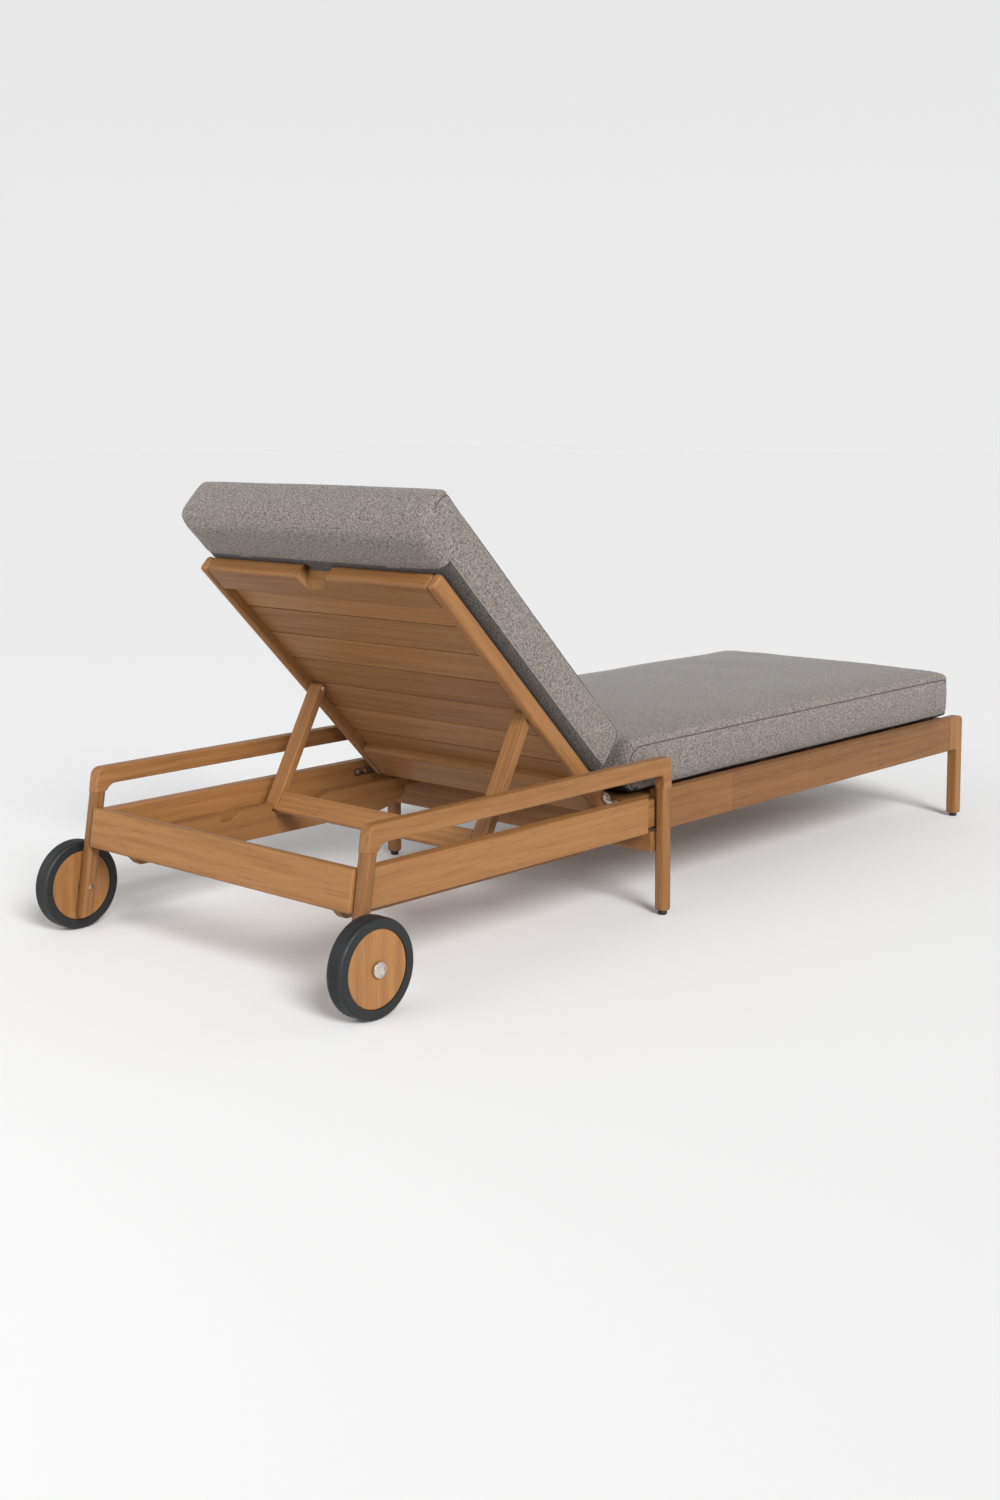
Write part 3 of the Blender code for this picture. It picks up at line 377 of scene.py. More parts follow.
def object_mode():
    bpy.ops.object.mode_set(mode="OBJECT")


def pick(obj, domain, test):
    """Select the faces or edges whose place passes a test. The object is left in edit mode."""
    object_mode()
    mesh = obj.data
    for group in (mesh.vertices, mesh.edges, mesh.polygons):
        for item in group:
            item.select = False
    chosen = 0
    if domain == "FACE":
        for face in mesh.polygons:
            if test(face.center, face.normal):
                face.select = True
                chosen += 1
    else:
        for edge in mesh.edges:
            ends = [mesh.vertices[index].co for index in edge.vertices]
            if test(*ends):
                edge.select = True
                chosen += 1
    bpy.ops.object.mode_set(mode="EDIT")
    bpy.ops.mesh.select_mode(type=domain)
    return chosen


def apply_modifiers(obj):
    select_only(obj)
    for modifier in list(obj.modifiers):
        bpy.ops.object.modifier_apply(modifier=modifier.name)


def settle(obj):
    """Bring an object's place into its mesh."""
    select_only(obj)
    bpy.ops.object.transform_apply(location=True, rotation=True, scale=True)


def smooth(obj, angle=35.0):
    select_only(obj)
    bpy.ops.object.shade_smooth_by_angle(angle=math.radians(angle))
    weighted = obj.modifiers.new("even_shading", "WEIGHTED_NORMAL")
    weighted.keep_sharp = True
    apply_modifiers(obj)


def round_edges(obj, width, segments=3, angle=30.0):
    bevel = obj.modifiers.new("edges", "BEVEL")
    bevel.width = width
    bevel.segments = segments
    bevel.limit_method = "ANGLE"
    bevel.angle_limit = math.radians(angle)
    apply_modifiers(obj)


def cut_away(obj, tool):
    """Take the tool's shape out of an object, and remove the tool."""
    cut = obj.modifiers.new("cut", "BOOLEAN")
    cut.operation = "DIFFERENCE"
    cut.solver = "EXACT"
    cut.object = tool
    apply_modifiers(obj)
    bpy.data.objects.remove(tool, do_unlink=True)


def paint(obj, material):
    obj.data.materials.clear()
    obj.data.materials.append(material)


def mark_board(obj, number, value=None):
    """Give a timber piece its own place in the grain pattern."""
    attribute = obj.data.attributes.new("board", "FLOAT", "POINT")
    if value is None:
        value = (number * 0.618034 + 0.13) % 1.0
    for item in attribute.data:
        item.value = value


def add_block(name, centre, size, turn=0.0, edge=0.001, segments=3):
    """A block turned about X, its edges rounded unless edge is 0."""
    bpy.ops.object.select_all(action="DESELECT")
    bpy.ops.mesh.primitive_cube_add(size=1.0, location=centre, rotation=(turn, 0.0, 0.0))
    block = bpy.context.object
    block.name = name
    block.data.name = name
    block.scale = size
    settle(block)
    if edge:
        round_edges(block, edge, segments)
    return block


def add_disc(name, centre, radius, depth, segments=32, edge=0.0, edge_segments=2):
    """A round disc whose axis runs along X."""
    bpy.ops.object.select_all(action="DESELECT")
    bpy.ops.mesh.primitive_cylinder_add(vertices=segments, radius=radius, depth=depth, location=centre,
                                        rotation=(0.0, math.radians(90), 0.0))
    disc = bpy.context.object
    disc.name = name
    disc.data.name = name
    settle(disc)
    if edge:
        round_edges(disc, edge, edge_segments, 60.0)
    return disc


def copy_of(node, suffix):
    """A merged copy of a part, to be finished."""
    source = FRAME["nodes"][node]
    mesh = source.data.copy()
    obj = bpy.data.objects.new(f"{node}_{suffix}", mesh)
    mesh.name = obj.name
    bpy.context.scene.collection.objects.link(obj)
    edit_mode(obj, "VERT")
    bpy.ops.mesh.select_all(action="SELECT")
    bpy.ops.mesh.remove_doubles(threshold=0.00002)
    bpy.ops.mesh.dissolve_limited(angle_limit=math.radians(0.6))
    object_mode()
    return obj


def place_piece(obj, body, node=None):
    """Put a finished piece on its body, in the place of its CAD node if it has one."""
    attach(obj, body)
    if node:
        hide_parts(node)


# ---------------------------------------------------------------- timber
def both(name):
    return [f"{name}_{word}" for word, side in SIDES]


TIMBER = (
    ("frame", "upright", both("foot_leg") + both("mid_post")),
    ("frame", "raked", both("wheel_post")),
    ("frame", "along", both("seat_cleat") + both("arm") + both("head_side_rail") + both("rack")),
    ("frame", "along_jointed", both("foot_side_rail")),
    ("frame", "across", ["foot_end_rail", "mid_cross_rail", "head_end_rail"]
     + [f"seat_slat_{n}" for n in range(1, 8)]),
    ("backrest", "reclined", both("stile")),
    ("backrest", "across", ["top_rail", "bottom_rail"] + [f"back_slat_{n}" for n in range(1, 8)]),
    ("prop", "propped", both("prop_leg")),
    ("prop", "across", ["prop_bar"]),
)

# timber pieces that take the darker board tones: partly the timber's own tone, partly painted shade for
# pieces seen in shade
DARKER_TONE_AND_SHADE = ("foot_side_rail", "mid_post", "wheel_post", "mid_cross", "rack", "seat_slat", "seat_cleat")


class LOUNGER_OT_timber(bpy.types.Operator):
    """Finish every timber piece of the frame, backrest and prop in oiled teak"""

    bl_idname = "lounger.timber"
    bl_label = "Finish the timber"

    def execute(self, context):
        number = 0
        for body, grain, names in TIMBER:
            for name in names:
                number += 1
                piece = copy_of(name, "timber")
                # the darker board tones given here are partly painted shade
                mark_board(piece, number, number % 5 * 0.03 if name.startswith(DARKER_TONE_AND_SHADE) else None)
                jointed = grain.endswith("_jointed")
                paint(piece, teak(grain.replace("_jointed", ""), jointed))
                smooth(piece)
                place_piece(piece, body, name)
        return {"FINISHED"}


class LOUNGER_OT_prop_toes(bpy.types.Operator):
    """Add the round ends of the prop's legs, which drop into the racks' notches"""

    bl_idname = "lounger.prop_toes"
    bl_label = "Prop toes"

    def execute(self, context):
        for word, side in SIDES:
            low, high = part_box(f"prop_leg_{word}")
            width = high[0] - low[0]
            down = Vector((0.0, math.cos(PROP_DROP), -math.sin(PROP_DROP)))
            centre = PROP_PIVOT + down * (PROP_TOE_END - PROP_TOE_LENGTH / 2)
            centre.x = (low[0] + high[0]) / 2
            size = (width + TOE_PROUD, PROP_TOE_LENGTH, PROP_TOE_THICKNESS)
            toe = add_block(f"prop_toe_{word}", centre, size, -PROP_DROP, 0.0)
            tip = PROP_PIVOT + down * PROP_TOE_END

            def at_tip(a, b):
                along_x = abs(a.x - b.x) > width * 0.5
                return along_x and all(math.hypot(p.y - tip.y, p.z - tip.z) < 0.0092 for p in (a, b))

            if pick(toe, "EDGE", at_tip):
                bpy.ops.mesh.bevel(offset=0.0055, segments=4, affect="EDGES")
            object_mode()
            round_edges(toe, 0.0018, 2)
            leg = bpy.data.objects[f"prop_leg_{word}_timber"]
            mark_board(toe, 0, leg.data.attributes["board"].data[0].value)
            paint(toe, teak("propped"))
            smooth(toe)
            place_piece(toe, "prop")
        return {"FINISHED"}


# ---------------------------------------------------------------- wheels
def grooved_tyre(word, centre, inner, outer, hole, radius):
    """A rubber ring with rounded shoulders and fine grooves round its tread."""
    width = outer - inner
    middle = (inner + outer) / 2
    tyre = add_disc(f"tyre_{word}_rubber", (middle, centre.y, centre.z), radius, width, 96)

    def spoke(point):
        return math.hypot(point.y - centre.y, point.z - centre.z)

    pick(tyre, "FACE", lambda place, normal: abs(normal.x) > 0.9)
    bpy.ops.mesh.inset(thickness=radius - hole)
    bpy.ops.mesh.delete(type="FACE")
    pick(tyre, "EDGE", lambda a, b: spoke(a) < hole * 1.02 and spoke(b) < hole * 1.02)
    bpy.ops.mesh.bridge_edge_loops()
    bpy.ops.mesh.select_all(action="SELECT")
    bpy.ops.mesh.normals_make_consistent(inside=False)
    pick(tyre, "EDGE", lambda a, b: min(spoke(a), spoke(b)) > radius * 0.98 and abs(a.x - b.x) < 1e-5)
    bpy.ops.mesh.bevel(offset=0.0058, segments=5, affect="EDGES", profile=0.55)
    pick(tyre, "EDGE", lambda a, b: max(spoke(a), spoke(b)) < hole * 1.02 and abs(a.x - b.x) < 1e-5)
    bpy.ops.mesh.bevel(offset=0.0012, segments=2, affect="EDGES")
    spacing = sizes().groove_spacing
    count = int((width - 0.014) / spacing / 2)
    lanes = [middle + step * spacing for step in range(-count, count + 1)]
    for lane in lanes:
        for offset in (-0.0009, -0.00035, 0.00035, 0.0009):
            bpy.ops.mesh.select_all(action="SELECT")
            bpy.ops.mesh.bisect(plane_co=(lane + offset, centre.y, centre.z), plane_no=(1.0, 0.0, 0.0))
    keep = (radius - sizes().groove_depth) / radius
    for lane in lanes:
        pick(tyre, "FACE", lambda place, normal:
             spoke(place) > radius * 0.97 and abs(place.x - lane) < 0.0003)
        bpy.ops.transform.resize(value=(1.0, keep, keep), center_override=(lane, centre.y, centre.z))
    object_mode()
    paint(tyre, rubber())
    smooth(tyre, 32.0)
    return tyre


def turned_disc(word, side, centre, inner, outer, radius):
    """The wheel's timber disc with eased rims."""
    middle = ((inner + outer) / 2, centre.y, centre.z)
    disc = add_disc(f"wheel_disc_{word}_timber", middle, radius, outer - inner, 96, 0.0016, 3)
    mark_board(disc, 40 + (side > 0))
    paint(disc, teak("upright"))
    smooth(disc)
    return disc


def wheel_cap(word, side, centre, face):
    """The axle's round cap, with one raised ring and a dished centre."""
    low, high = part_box(f"axle_{word}")
    tip = high[0] if side > 0 else low[0]
    middle = ((tip + face) / 2, centre.y, centre.z)
    cap = add_disc(f"wheel_cap_{word}", middle, CAP_RADIUS, abs(tip - face), 48, 0.0009, 3)
    pick(cap, "FACE", lambda place, normal: normal.x * side > 0.95)
    for inset, push in ((0.0030, 0.0), (0.0008, -0.0007), (0.0016, 0.0), (0.0007, 0.0006)):
        bpy.ops.mesh.inset(thickness=inset)
        bpy.ops.transform.translate(value=(push * side, 0.0, 0.0))
    object_mode()
    paint(cap, steel())
    smooth(cap, 30.0)
    return cap


class LOUNGER_OT_wheels(bpy.types.Operator):
    """Build the rubber tyres, timber discs, bushes, axles and steel caps"""

    bl_idname = "lounger.wheels"
    bl_label = "Wheels"

    def execute(self, context):
        for word, side in SIDES:
            body = f"wheel_{word}"
            centre = AXLE[word]
            low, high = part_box(f"tyre_{word}")
            disc_low, disc_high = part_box(f"wheel_disc_{word}")
            radius = (high[2] - low[2]) / 2
            disc_radius = (disc_high[2] - disc_low[2]) / 2
            hole = disc_radius + RUNNING_GAP
            tyre = grooved_tyre(word, centre, low[0], high[0], hole, radius)
            place_piece(tyre, body, f"tyre_{word}")
            disc = turned_disc(word, side, centre, disc_low[0], disc_high[0], disc_radius)
            place_piece(disc, body, f"wheel_disc_{word}")
            bush = copy_of(f"wheel_bush_{word}", "steel")
            paint(bush, steel())
            smooth(bush)
            place_piece(bush, body, f"wheel_bush_{word}")
            face = (high[0] if side > 0 else low[0]) + side * RUNNING_GAP
            cap = wheel_cap(word, side, centre, face)
            place_piece(cap, "frame")
            middle = (centre.x - side * AXLE_SETBACK, centre.y, centre.z)
            axle = add_disc(f"axle_{word}_steel", middle, AXLE_RADIUS, AXLE_LENGTH, 24, 0.0006)
            paint(axle, steel())
            smooth(axle)
            place_piece(axle, "frame", f"axle_{word}")
        return {"FINISHED"}


# ---------------------------------------------------------------- fittings
def screw(name, place, outwards):
    """A countersunk screw's head with a cross recess, facing along X; outwards is the way it faces."""
    radius = sizes().screw_radius
    head = add_disc(name, (place[0], place[1], place[2]), radius, SCREW_THICKNESS, 24, 0.0005)
    for turn in (0.3, 0.3 + math.pi / 2):
        slot = add_block(f"{name}_slot", (place[0] + outwards * 0.0006, place[1], place[2]),
                         (0.0008, radius * 1.15, radius * 0.26), turn, 0.0002, 1)
        cut_away(head, slot)
    paint(head, steel())
    smooth(head)
    return head


class LOUNGER_OT_fittings(bpy.types.Operator):
    """Finish the hinge plates, pins and bolts, and add straps and screws"""

    bl_idname = "lounger.fittings"
    bl_label = "Hinges, bolts and screws"

    def execute(self, context):
        for word, side in SIDES:
            for node, body in ((f"hinge_plate_{word}", "frame"), (f"hinge_pin_{word}", "frame"),
                               (f"prop_bolt_{word}", "backrest")):
                piece = copy_of(node, "steel")
                paint(piece, steel())
                smooth(piece)
                place_piece(piece, body, node)
            plate_low, plate_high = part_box(f"hinge_plate_{word}")
            inner = plate_low[0] if side > 0 else plate_high[0]
            for number, reach in enumerate((0.020, 0.042)):
                head = screw(f"hinge_screw_{word}_{number + 1}",
                             (inner - side * 0.0005, HINGE.y + reach, plate_low[2] + 0.008), -side)
                place_piece(head, "frame")
            stile_low, stile_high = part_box(f"stile_{word}")
            face = stile_high[0] if side > 0 else stile_low[0]
            strap = hinge_strap(word, side, face)
            place_piece(strap, "backrest")
            head = screw(f"strap_screw_{word}", on_back(face + side * 0.0028, 0.0212, -0.0001), side)
            place_piece(head, "backrest")
        return {"FINISHED"}


def on_back(x, along, above):
    """A point given by its place along and above the hinge line of the reclined back."""
    turn = Matrix.Rotation(RECLINE, 3, "X")
    return HINGE + turn @ Vector((0.0, along, above)) + Vector((x, 0.0, 0.0))


def hinge_strap(word, side, face):
    """The steel strap on the stile's outer face, with a round top end and a hole for the pin."""
    centre = on_back(face + side * (RUNNING_GAP + STRAP_THICKNESS / 2), STRAP_MIDDLE, 0.0)
    size = (STRAP_THICKNESS, STRAP_LENGTH, STRAP_WIDTH)
    strap = add_block(f"hinge_strap_{word}", centre, size, RECLINE, 0.0)
    ends = [on_back(0.0, STRAP_MIDDLE + along, above) for along in (-STRAP_LENGTH / 2, STRAP_LENGTH / 2)
            for above in (-STRAP_WIDTH / 2, STRAP_WIDTH / 2)]

    def corner(a, b):
        return abs(a.x - b.x) > STRAP_THICKNESS * 0.5 and any(
            math.hypot(a.y - end.y, a.z - end.z) < 0.0012 for end in ends)

    if pick(strap, "EDGE", corner):
        bpy.ops.mesh.bevel(offset=0.0066, segments=6, affect="EDGES")
    object_mode()
    drill = add_disc(f"strap_drill_{word}", on_back(face + side * 0.0015, 0.0, 0.0), 0.0044, 0.02, 24)
    cut_away(strap, drill)
    paint(strap, steel())
    smooth(strap)
    return strap


class LOUNGER_OT_glides(bpy.types.Operator):
    """Finish the rubber glides under the legs"""

    bl_idname = "lounger.glides"
    bl_label = "Glides"

    def execute(self, context):
        for name in both("glide_foot") + both("glide_mid"):
            glide = copy_of(name, "rubber")
            paint(glide, rubber())
            smooth(glide)
            place_piece(glide, "frame", name)
        return {"FINISHED"}


# ---------------------------------------------------------------- cushions
def fill_cushion(obj, swell):
    """Blow the cushion's cover up a little, as its filling does, and keep the result in its mesh."""
    start = [vertex.co.copy() for vertex in obj.data.vertices]
    cloth = obj.modifiers.new("filling", "CLOTH")
    settings = cloth.settings
    settings.quality = 5
    settings.mass = 0.3
    settings.tension_stiffness = 12.0
    settings.compression_stiffness = 12.0
    settings.shear_stiffness = 4.0
    settings.bending_stiffness = 0.6
    settings.use_pressure = True
    settings.uniform_pressure_force = 4.0
    settings.effector_weights.gravity = 0.0
    cloth.collision_settings.use_collision = False
    scene = bpy.context.scene
    cloth.point_cache.frame_start = 1
    cloth.point_cache.frame_end = FILL_FRAMES
    for frame in range(1, FILL_FRAMES + 1):
        scene.frame_set(frame)
    graph = bpy.context.evaluated_depsgraph_get()
    shape = obj.evaluated_get(graph).data
    moved = [vertex.co.copy() for vertex in shape.vertices]
    obj.modifiers.remove(cloth)
    scene.frame_set(1)
    for vertex, before, after in zip(obj.data.vertices, start, moved):
        push = after - before
        if push.length > swell:
            push *= swell / push.length
        vertex.co = before + push
    obj.data.update()


def stretch_to(obj, low, high):
    """Scale a cushion, axis by axis, until it fills the space between two corners."""
    for axis in range(3):
        values = [vertex.co[axis] for vertex in obj.data.vertices]
        least, most = min(values), max(values)
        factor = (high[axis] - low[axis]) / (most - least)
        for vertex in obj.data.vertices:
            vertex.co[axis] = low[axis] + (vertex.co[axis] - least) * factor


def ease_corner(first, second, radius):
    """Bring two distances in from an edge onto a round corner, if they lie outside it."""
    if first < radius and second < radius:
        reach = math.hypot(radius - first, radius - second)
        if reach > radius:
            first = radius - (radius - first) * radius / reach
            second = radius - (radius - second) * radius / reach
    return first, second


def shape_cushion(obj, low, high, rounds, crown, bulge):
    """Ease the edges and crown the top; rounds gives the radius of each run of edges."""
    middle = [(a + b) / 2 for a, b in zip(low, high)]
    half = [(b - a) / 2 for a, b in zip(low, high)]
    for vertex in obj.data.vertices:
        place = vertex.co
        sign_x = math.copysign(1.0, place.x)
        sign_y = math.copysign(1.0, place.y - middle[1])
        sign_z = math.copysign(1.0, place.z - middle[2])
        from_side = half[0] - abs(place.x)
        from_end = half[1] - abs(place.y - middle[1])
        from_face = half[2] - abs(place.z - middle[2])
        level = "top" if sign_z > 0 else "bottom"
        end = "head" if sign_y > 0 else "foot"
        from_side, from_face = ease_corner(from_side, from_face, rounds[f"side_{level}"])
        from_end, from_face = ease_corner(from_end, from_face, rounds[f"{end}_{level}"])
        from_side, from_end = ease_corner(from_side, from_end, rounds["upright"])
        place.x = sign_x * (half[0] - from_side)
        place.y = middle[1] + sign_y * (half[1] - from_end)
        place.z = middle[2] + sign_z * (half[2] - from_face)
        across = min(abs(place.x) / half[0], 1.0)
        lengthwise = min(abs(place.y - middle[1]) / half[1], 1.0)
        if sign_z > 0:
            share = (place.z - middle[2]) / half[2]
            place.z += crown * share * (1.0 - across ** 4) * (1.0 - lengthwise ** 8)
        ripple = noise.noise(Vector((place.x * 7.0, place.y * 7.0, place.z * 9.0)) + Vector((3.1, 0.7, 5.3)))
        depth = min(max((place.z - low[2]) / 0.03, 0.0), 1.0)
        place.z += 0.0022 * ripple * depth
        level = 1.0 - min(abs(place.z - middle[2]) / half[2], 1.0) ** 2
        place.x += sign_x * (bulge[0] * level - 0.0012 * (1.0 + ripple)) * across ** 8
        place.y += sign_y * bulge[1] * level * (1.0 - across ** 6) * lengthwise ** 12


def seam_path(low, high, inset, radius, step=0.006):
    """Points of a rounded rectangle in (y, z), set in from each edge of a cushion's side."""
    left, right = low[1] + inset["foot"], high[1] - inset["head"]
    floor, roof = low[2] + inset["bottom"], high[2] - inset["top"]
    corners = ((right - radius, roof - radius, 0.0), (left + radius, roof - radius, 90.0),
               (left + radius, floor + radius, 180.0), (right - radius, floor + radius, 270.0))
    path = []
    for index, (y, z, start) in enumerate(corners):
        for turn in range(0, 91, 15):
            angle = math.radians(start + turn)
            path.append(Vector((y + radius * math.cos(angle), z + radius * math.sin(angle))))
        after = corners[(index + 1) % 4]
        angle = math.radians(after[2])
        goal = Vector((after[0] + radius * math.cos(angle), after[1] + radius * math.sin(angle)))
        here = path[-1].copy()
        count = int((goal - here).length / step)
        path += [here.lerp(goal, number / (count + 1)) for number in range(1, count + 1)]
    return path


def on_side(cushion, path, side, limit):
    """Bring a path's points onto one side of the cushion."""
    tree = bvhtree.BVHTree.FromPolygons([vertex.co for vertex in cushion.data.vertices],
                                        [tuple(face.vertices) for face in cushion.data.polygons])
    points = []
    for place in path:
        hit = tree.ray_cast(Vector((side * (limit + 0.05), place.x, place.y)), Vector((-side, 0.0, 0.0)))[0]
        if hit is not None:
            points.append(hit)
    return points


def pull_seam(cushion, points, depth):
    """Draw the cover in along a seam."""
    tree = kdtree.KDTree(len(points))
    for index, point in enumerate(points):
        tree.insert(point, index)
    tree.balance()
    cushion.data.update()
    normals = [vertex.normal.copy() for vertex in cushion.data.vertices]
    for vertex, normal in zip(cushion.data.vertices, normals):
        gap = tree.find(vertex.co)[2]
        if gap < 0.016:
            vertex.co -= normal * depth * math.exp(-(gap / 0.0055) ** 2)


def run_seam(name, points, level, upper, lower):
    """A thin cord of stitching along a loop, in one colour above a level and another below; a darker colour
    there is painted shade for the seam's groove.
    """
    bpy.ops.object.select_all(action="DESELECT")
    bpy.ops.mesh.primitive_circle_add(vertices=len(points), radius=1.0)
    loop = bpy.context.object
    loop.name = name
    loop.data.name = name
    for vertex, point in zip(loop.data.vertices, points):
        vertex.co = point
    bpy.ops.object.convert(target="CURVE")
    cord = bpy.context.object
    cord.data.bevel_depth = sizes().seam_radius
    cord.data.bevel_resolution = 2
    bpy.ops.object.convert(target="MESH")
    cord = bpy.context.object
    cord.data.materials.clear()
    cord.data.materials.append(upper)
    cord.data.materials.append(lower)
    for face in cord.data.polygons:
        face.material_index = 0 if face.center.z > level else 1
    settle(cord)
    return cord


def make_cushion(name, low, high, rounds, crown, bulge, inset, finish_shape, seam_names, seam_colour):
    """A boxed cushion lying flat: block, fine skin, filling, easing, then a seam round each side."""
    middle = [(a + b) / 2 for a, b in zip(low, high)]
    size = [b - a for a, b in zip(low, high)]
    cushion = add_block(name, middle, size, 0.0, 0.010, 3)
    skin = cushion.modifiers.new("skin", "REMESH")
    skin.mode = "VOXEL"
    skin.voxel_size = sizes().cushion_mesh * 1.0
    apply_modifiers(cushion)
    boxed = [vertex.co.copy() for vertex in cushion.data.vertices]
    fill_cushion(cushion, sizes().cushion_swell)
    stretch_to(cushion, low, high)
    # foam keeps the boxed shape, and the cover's swelling softens it
    for vertex, firm in zip(cushion.data.vertices, boxed):
        vertex.co = vertex.co.lerp(firm, FIRMNESS)
    stretch_to(cushion, low, high)
    shape_cushion(cushion, low, high, rounds, crown, bulge)
    finer = cushion.modifiers.new("finer", "SUBSURF")
    finer.levels = 1
    finer.render_levels = 1
    apply_modifiers(cushion)
    for vertex in cushion.data.vertices:
        finish_shape(vertex.co)
    path = seam_path(low, high, inset, SEAM_CORNER)
    seams = []
    for word, side in SIDES:
        pull_seam(cushion, on_side(cushion, path, side, high[0]), SEAM_PULL)
        points = on_side(cushion, path, side, high[0])
        seams.append(run_seam(f"{seam_names}_{word}", points, middle[2], *seam_colour))
    cushion.data.update()
    return cushion, seams


def recline(obj):
    """Move a piece made on a flat back to the reclined back."""
    obj.data.transform(Matrix.Translation(HINGE) @ Matrix.Rotation(RECLINE, 4, "X"))
    obj.data.update()


def seam_colours():
    """The darker seam colour, which is painted shade for the shadow in a seam's groove, and the light
    stitching.
    """
    light = plain_finish("seam_thread_light", (0.24, 0.215, 0.20), 0.9)
    # painted shade: this darker seam colour stands in for the shadow in a seam's groove
    groove_shade = plain_finish("seam_thread_dark", (0.075, 0.066, 0.062), 0.9)
    return groove_shade, light


class LOUNGER_OT_seat_cushion(bpy.types.Operator):
    """Make the long seat cushion with its seams and non-slip underside"""

    bl_idname = "lounger.seat_cushion"
    bl_label = "Seat cushion"

    def execute(self, context):
        low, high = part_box("seat_cushion")
        low = Vector(low)
        high = Vector((high[0], high[1], high[2] - 0.002))
        rounds = {"side_top": 0.024, "side_bottom": 0.007, "head_top": 0.026, "head_bottom": 0.034,
                  "foot_top": 0.044, "foot_bottom": 0.014, "upright": 0.026}
        inset = {"foot": 0.010, "head": 0.008, "bottom": 0.004, "top": 0.020}
        # the seat's seams take the painted groove shade all round
        groove_shade = seam_colours()[0]

        def rest(place):
            place.z = max(place.z, low[2])

        cushion, seams = make_cushion("seat_cushion_cover", low, high, rounds, 0.010, (0.0045, 0.006),
                                      inset, rest, "seat_seam", (groove_shade, groove_shade))
        paint(cushion, woven_cloth("woven_cloth"))
        cushion.data.materials.append(plain_finish("non_slip_cloth", colours().underside, 0.85))
        for face in cushion.data.polygons:
            if face.center.z < low[2] + 0.012 or face.normal.z < -0.5:
                face.material_index = 1
        select_only(cushion)
        bpy.ops.object.shade_smooth()
        place_piece(cushion, "frame", "seat_cushion")
        for seam in seams:
            select_only(seam)
            bpy.ops.object.shade_smooth()
            place_piece(seam, "frame")
        return {"FINISHED"}


class LOUNGER_OT_back_cushion(bpy.types.Operator):
    """Make the back cushion, which leans on the slats"""

    bl_idname = "lounger.back_cushion"
    bl_label = "Back cushion"

    def execute(self, context):
        flat = Matrix.Rotation(-RECLINE, 4, "X") @ Matrix.Translation(-HINGE)
        corners = [flat @ vertex.co for vertex in FRAME["nodes"]["back_cushion"].data.vertices]
        low = Vector([min(corner[axis] for corner in corners) for axis in range(3)])
        high = Vector([max(corner[axis] for corner in corners) for axis in range(3)])
        rail_end = max((flat @ vertex.co).y for vertex in FRAME["nodes"]["top_rail"].data.vertices)
        low = Vector((low[0] + 0.002, low[1] + 0.002, low[2]))
        high = Vector((high[0] - 0.002, high[1], high[2] - 0.001))
        rounds = {"side_top": 0.012, "side_bottom": 0.028, "head_top": 0.030, "head_bottom": 0.046,
                  "foot_top": 0.020, "foot_bottom": 0.018, "upright": 0.012}
        inset = {"foot": 0.008, "head": 0.010, "bottom": 0.024, "top": 0.007}
        # the back's seams take the painted groove shade on their upper half and the light stitching below
        groove_shade, light = seam_colours()

        def rest(place):
            place.z = max(place.z, low[2])
            # past the top rail nothing holds the cushion, so it sags back over the rail's edge
            past = min(max((place.y - rail_end - 0.001) / 0.016, 0.0), 1.0)
            under = 1.0 - min(max((place.z - low[2]) / 0.07, 0.0), 1.0)
            place.z -= 0.002 * past * past * (3.0 - 2.0 * past) * under

        cushion, seams = make_cushion("back_cushion_cover", low, high, rounds, 0.006, (0.004, 0.004),
                                      inset, rest, "back_seam", (groove_shade, light))
        paint(cushion, woven_cloth("woven_cloth_reclined", -RECLINE))
        # painted shade: the cloth along the lower edge, where it shows beside the stiles, is darkened to
        # stand in for the shadow there
        cushion.data.materials.append(woven_cloth("woven_cloth_shaded", -RECLINE, 0.30))
        # faces low on the cushion's back, below the top rail's end, take the painted shade
        for face in cushion.data.polygons:
            if face.center.z < low[2] + 0.0225 and face.center.y < rail_end + 0.006:
                face.material_index = 1
        for piece in [cushion] + seams:
            recline(piece)
            select_only(piece)
            bpy.ops.object.shade_smooth()
        place_piece(cushion, "backrest", "back_cushion")
        for seam in seams:
            place_piece(seam, "backrest")
        return {"FINISHED"}


# ---------------------------------------------------------------- studio
def soft_light(name, place, aim, size, power):
    """A rectangular lamp that points at a place."""
    lamp = bpy.data.lights.new(name, "AREA")
    lamp.shape = "RECTANGLE"
    lamp.size = size[0]
    lamp.size_y = size[1]
    lamp.energy = power
    obj = bpy.data.objects.new(name, lamp)
    bpy.context.scene.collection.objects.link(obj)
    obj.location = place
    obj.rotation_euler = (Vector(aim) - Vector(place)).to_track_quat("-Z", "Y").to_euler()


CAMERA_PLACE = (-2.4954, 3.0017, 0.9746)
CAMERA_YAW = 0.7726
CAMERA_PITCH = 0.1160
CAMERA_ROLL = -0.0084
CAMERA_LENS = 45.26
CAMERA_SHIFT = (0.0566, -0.0829)


def aimed(place, yaw, pitch, roll):
    """The matrix of a camera at a place; yaw 0 looks along -Y, and a positive pitch looks down."""
    ahead = Vector((math.sin(yaw) * math.cos(pitch), -math.cos(yaw) * math.cos(pitch), -math.sin(pitch)))
    level = ahead.cross(Vector((0.0, 0.0, 1.0))).normalized()
    above = level.cross(ahead)
    right = math.cos(roll) * level + math.sin(roll) * above
    top = -math.sin(roll) * level + math.cos(roll) * above
    turn = Matrix((right, top, -ahead)).transposed()
    return Matrix.Translation(place) @ turn.to_4x4()


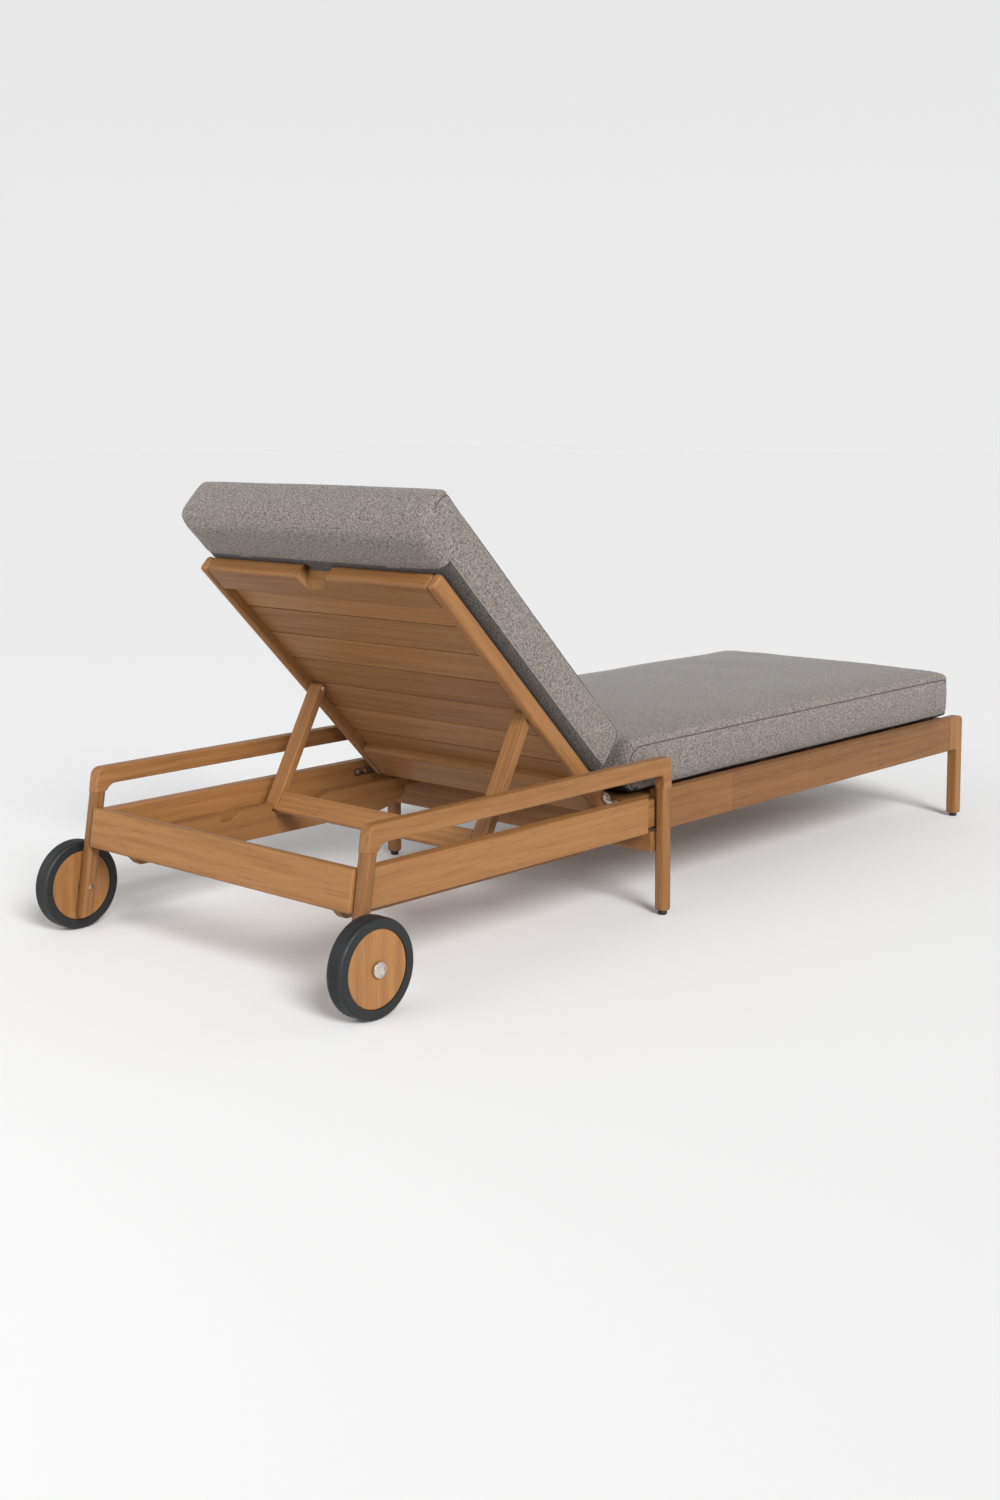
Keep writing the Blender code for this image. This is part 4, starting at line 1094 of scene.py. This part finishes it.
class LOUNGER_OT_studio(bpy.types.Operator):
    """Set up the pale floor, the soft lights and the camera"""

    bl_idname = "lounger.studio"
    bl_label = "Studio"

    def execute(self, context):
        scene = context.scene
        bpy.ops.object.select_all(action="DESELECT")
        bpy.ops.mesh.primitive_plane_add(size=60.0, location=(0.0, 0.0, -0.0004))
        floor = context.object
        floor.name = "studio_floor"
        material = new_material("pale_floor")[0]
        shader = material.node_tree.nodes["Principled BSDF"]
        shader.inputs["Base Color"].default_value = (0.86, 0.86, 0.86, 1.0)
        shader.inputs["Roughness"].default_value = 0.9
        shader.inputs["Specular IOR Level"].default_value = 0.1
        paint(floor, material)
        world = bpy.data.worlds.new("studio_world")
        world.use_nodes = True
        nodes, links = world.node_tree.nodes, world.node_tree.links
        way = add_node(nodes, "ShaderNodeTexCoord")
        split = add_node(nodes, "ShaderNodeSeparateXYZ")
        sky = add_ramp(nodes, [(0.0, grey(0.84)), (0.30, grey(0.78)), (0.60, grey(0.42)), (1.0, grey(0.26))])
        links.new(way.outputs["Generated"], split.inputs["Vector"])
        links.new(split.outputs["Z"], sky.inputs["Fac"])
        links.new(sky.outputs["Color"], nodes["Background"].inputs["Color"])
        scene.world = world
        sun = bpy.data.lights.new("key_light", "SUN")
        sun.energy = 3.1
        sun.angle = math.radians(22.0)
        key = bpy.data.objects.new("key_light", sun)
        scene.collection.objects.link(key)
        key.rotation_euler = Vector((3.6, -1.7, -2.5)).to_track_quat("-Z", "Y").to_euler()
        soft_light("head_light", (0.4, 4.2, 2.2), (0.0, 0.4, 0.3), (2.4, 2.0), 34.0)
        scene.view_settings.view_transform = "Standard"
        data = bpy.data.cameras.new("studio_camera")
        camera = bpy.data.objects.new("studio_camera", data)
        scene.collection.objects.link(camera)
        data.lens = CAMERA_LENS
        data.sensor_width = 36.0
        data.shift_x, data.shift_y = CAMERA_SHIFT
        data.clip_end = 200.0
        camera.matrix_world = aimed(CAMERA_PLACE, CAMERA_YAW, CAMERA_PITCH, CAMERA_ROLL)
        scene.camera = camera
        return {"FINISHED"}


# ---------------------------------------------------------------- add-on
OPERATORS = (
    LOUNGER_OT_timber,
    LOUNGER_OT_prop_toes,
    LOUNGER_OT_wheels,
    LOUNGER_OT_fittings,
    LOUNGER_OT_glides,
    LOUNGER_OT_seat_cushion,
    LOUNGER_OT_back_cushion,
    LOUNGER_OT_studio,
)


class LOUNGER_PT_panel(bpy.types.Panel):
    """Lists the lounger's pieces"""

    bl_idname = "LOUNGER_PT_panel"
    bl_label = "Sun lounger"
    bl_space_type = "VIEW_3D"
    bl_region_type = "UI"
    bl_category = "Lounger"

    def draw(self, context):
        for operator in OPERATORS:
            self.layout.operator(operator.bl_idname)


CLASSES = (LoungerColours, LoungerSizes) + OPERATORS + (LOUNGER_PT_panel,)


def register():
    for cls in CLASSES:
        bpy.utils.register_class(cls)
    bpy.types.Scene.lounger_colours = bpy.props.PointerProperty(type=LoungerColours)
    bpy.types.Scene.lounger_sizes = bpy.props.PointerProperty(type=LoungerSizes)


def unregister():
    del bpy.types.Scene.lounger_sizes
    del bpy.types.Scene.lounger_colours
    for cls in reversed(CLASSES):
        bpy.utils.unregister_class(cls)


def main():
    register()
    bpy.ops.object.select_all(action="DESELECT")
    for step in ("timber", "prop_toes", "wheels", "fittings", "glides", "seat_cushion", "back_cushion",
                 "studio"):
        getattr(bpy.ops.lounger, step)()


if __name__ == "__main__":
    main()
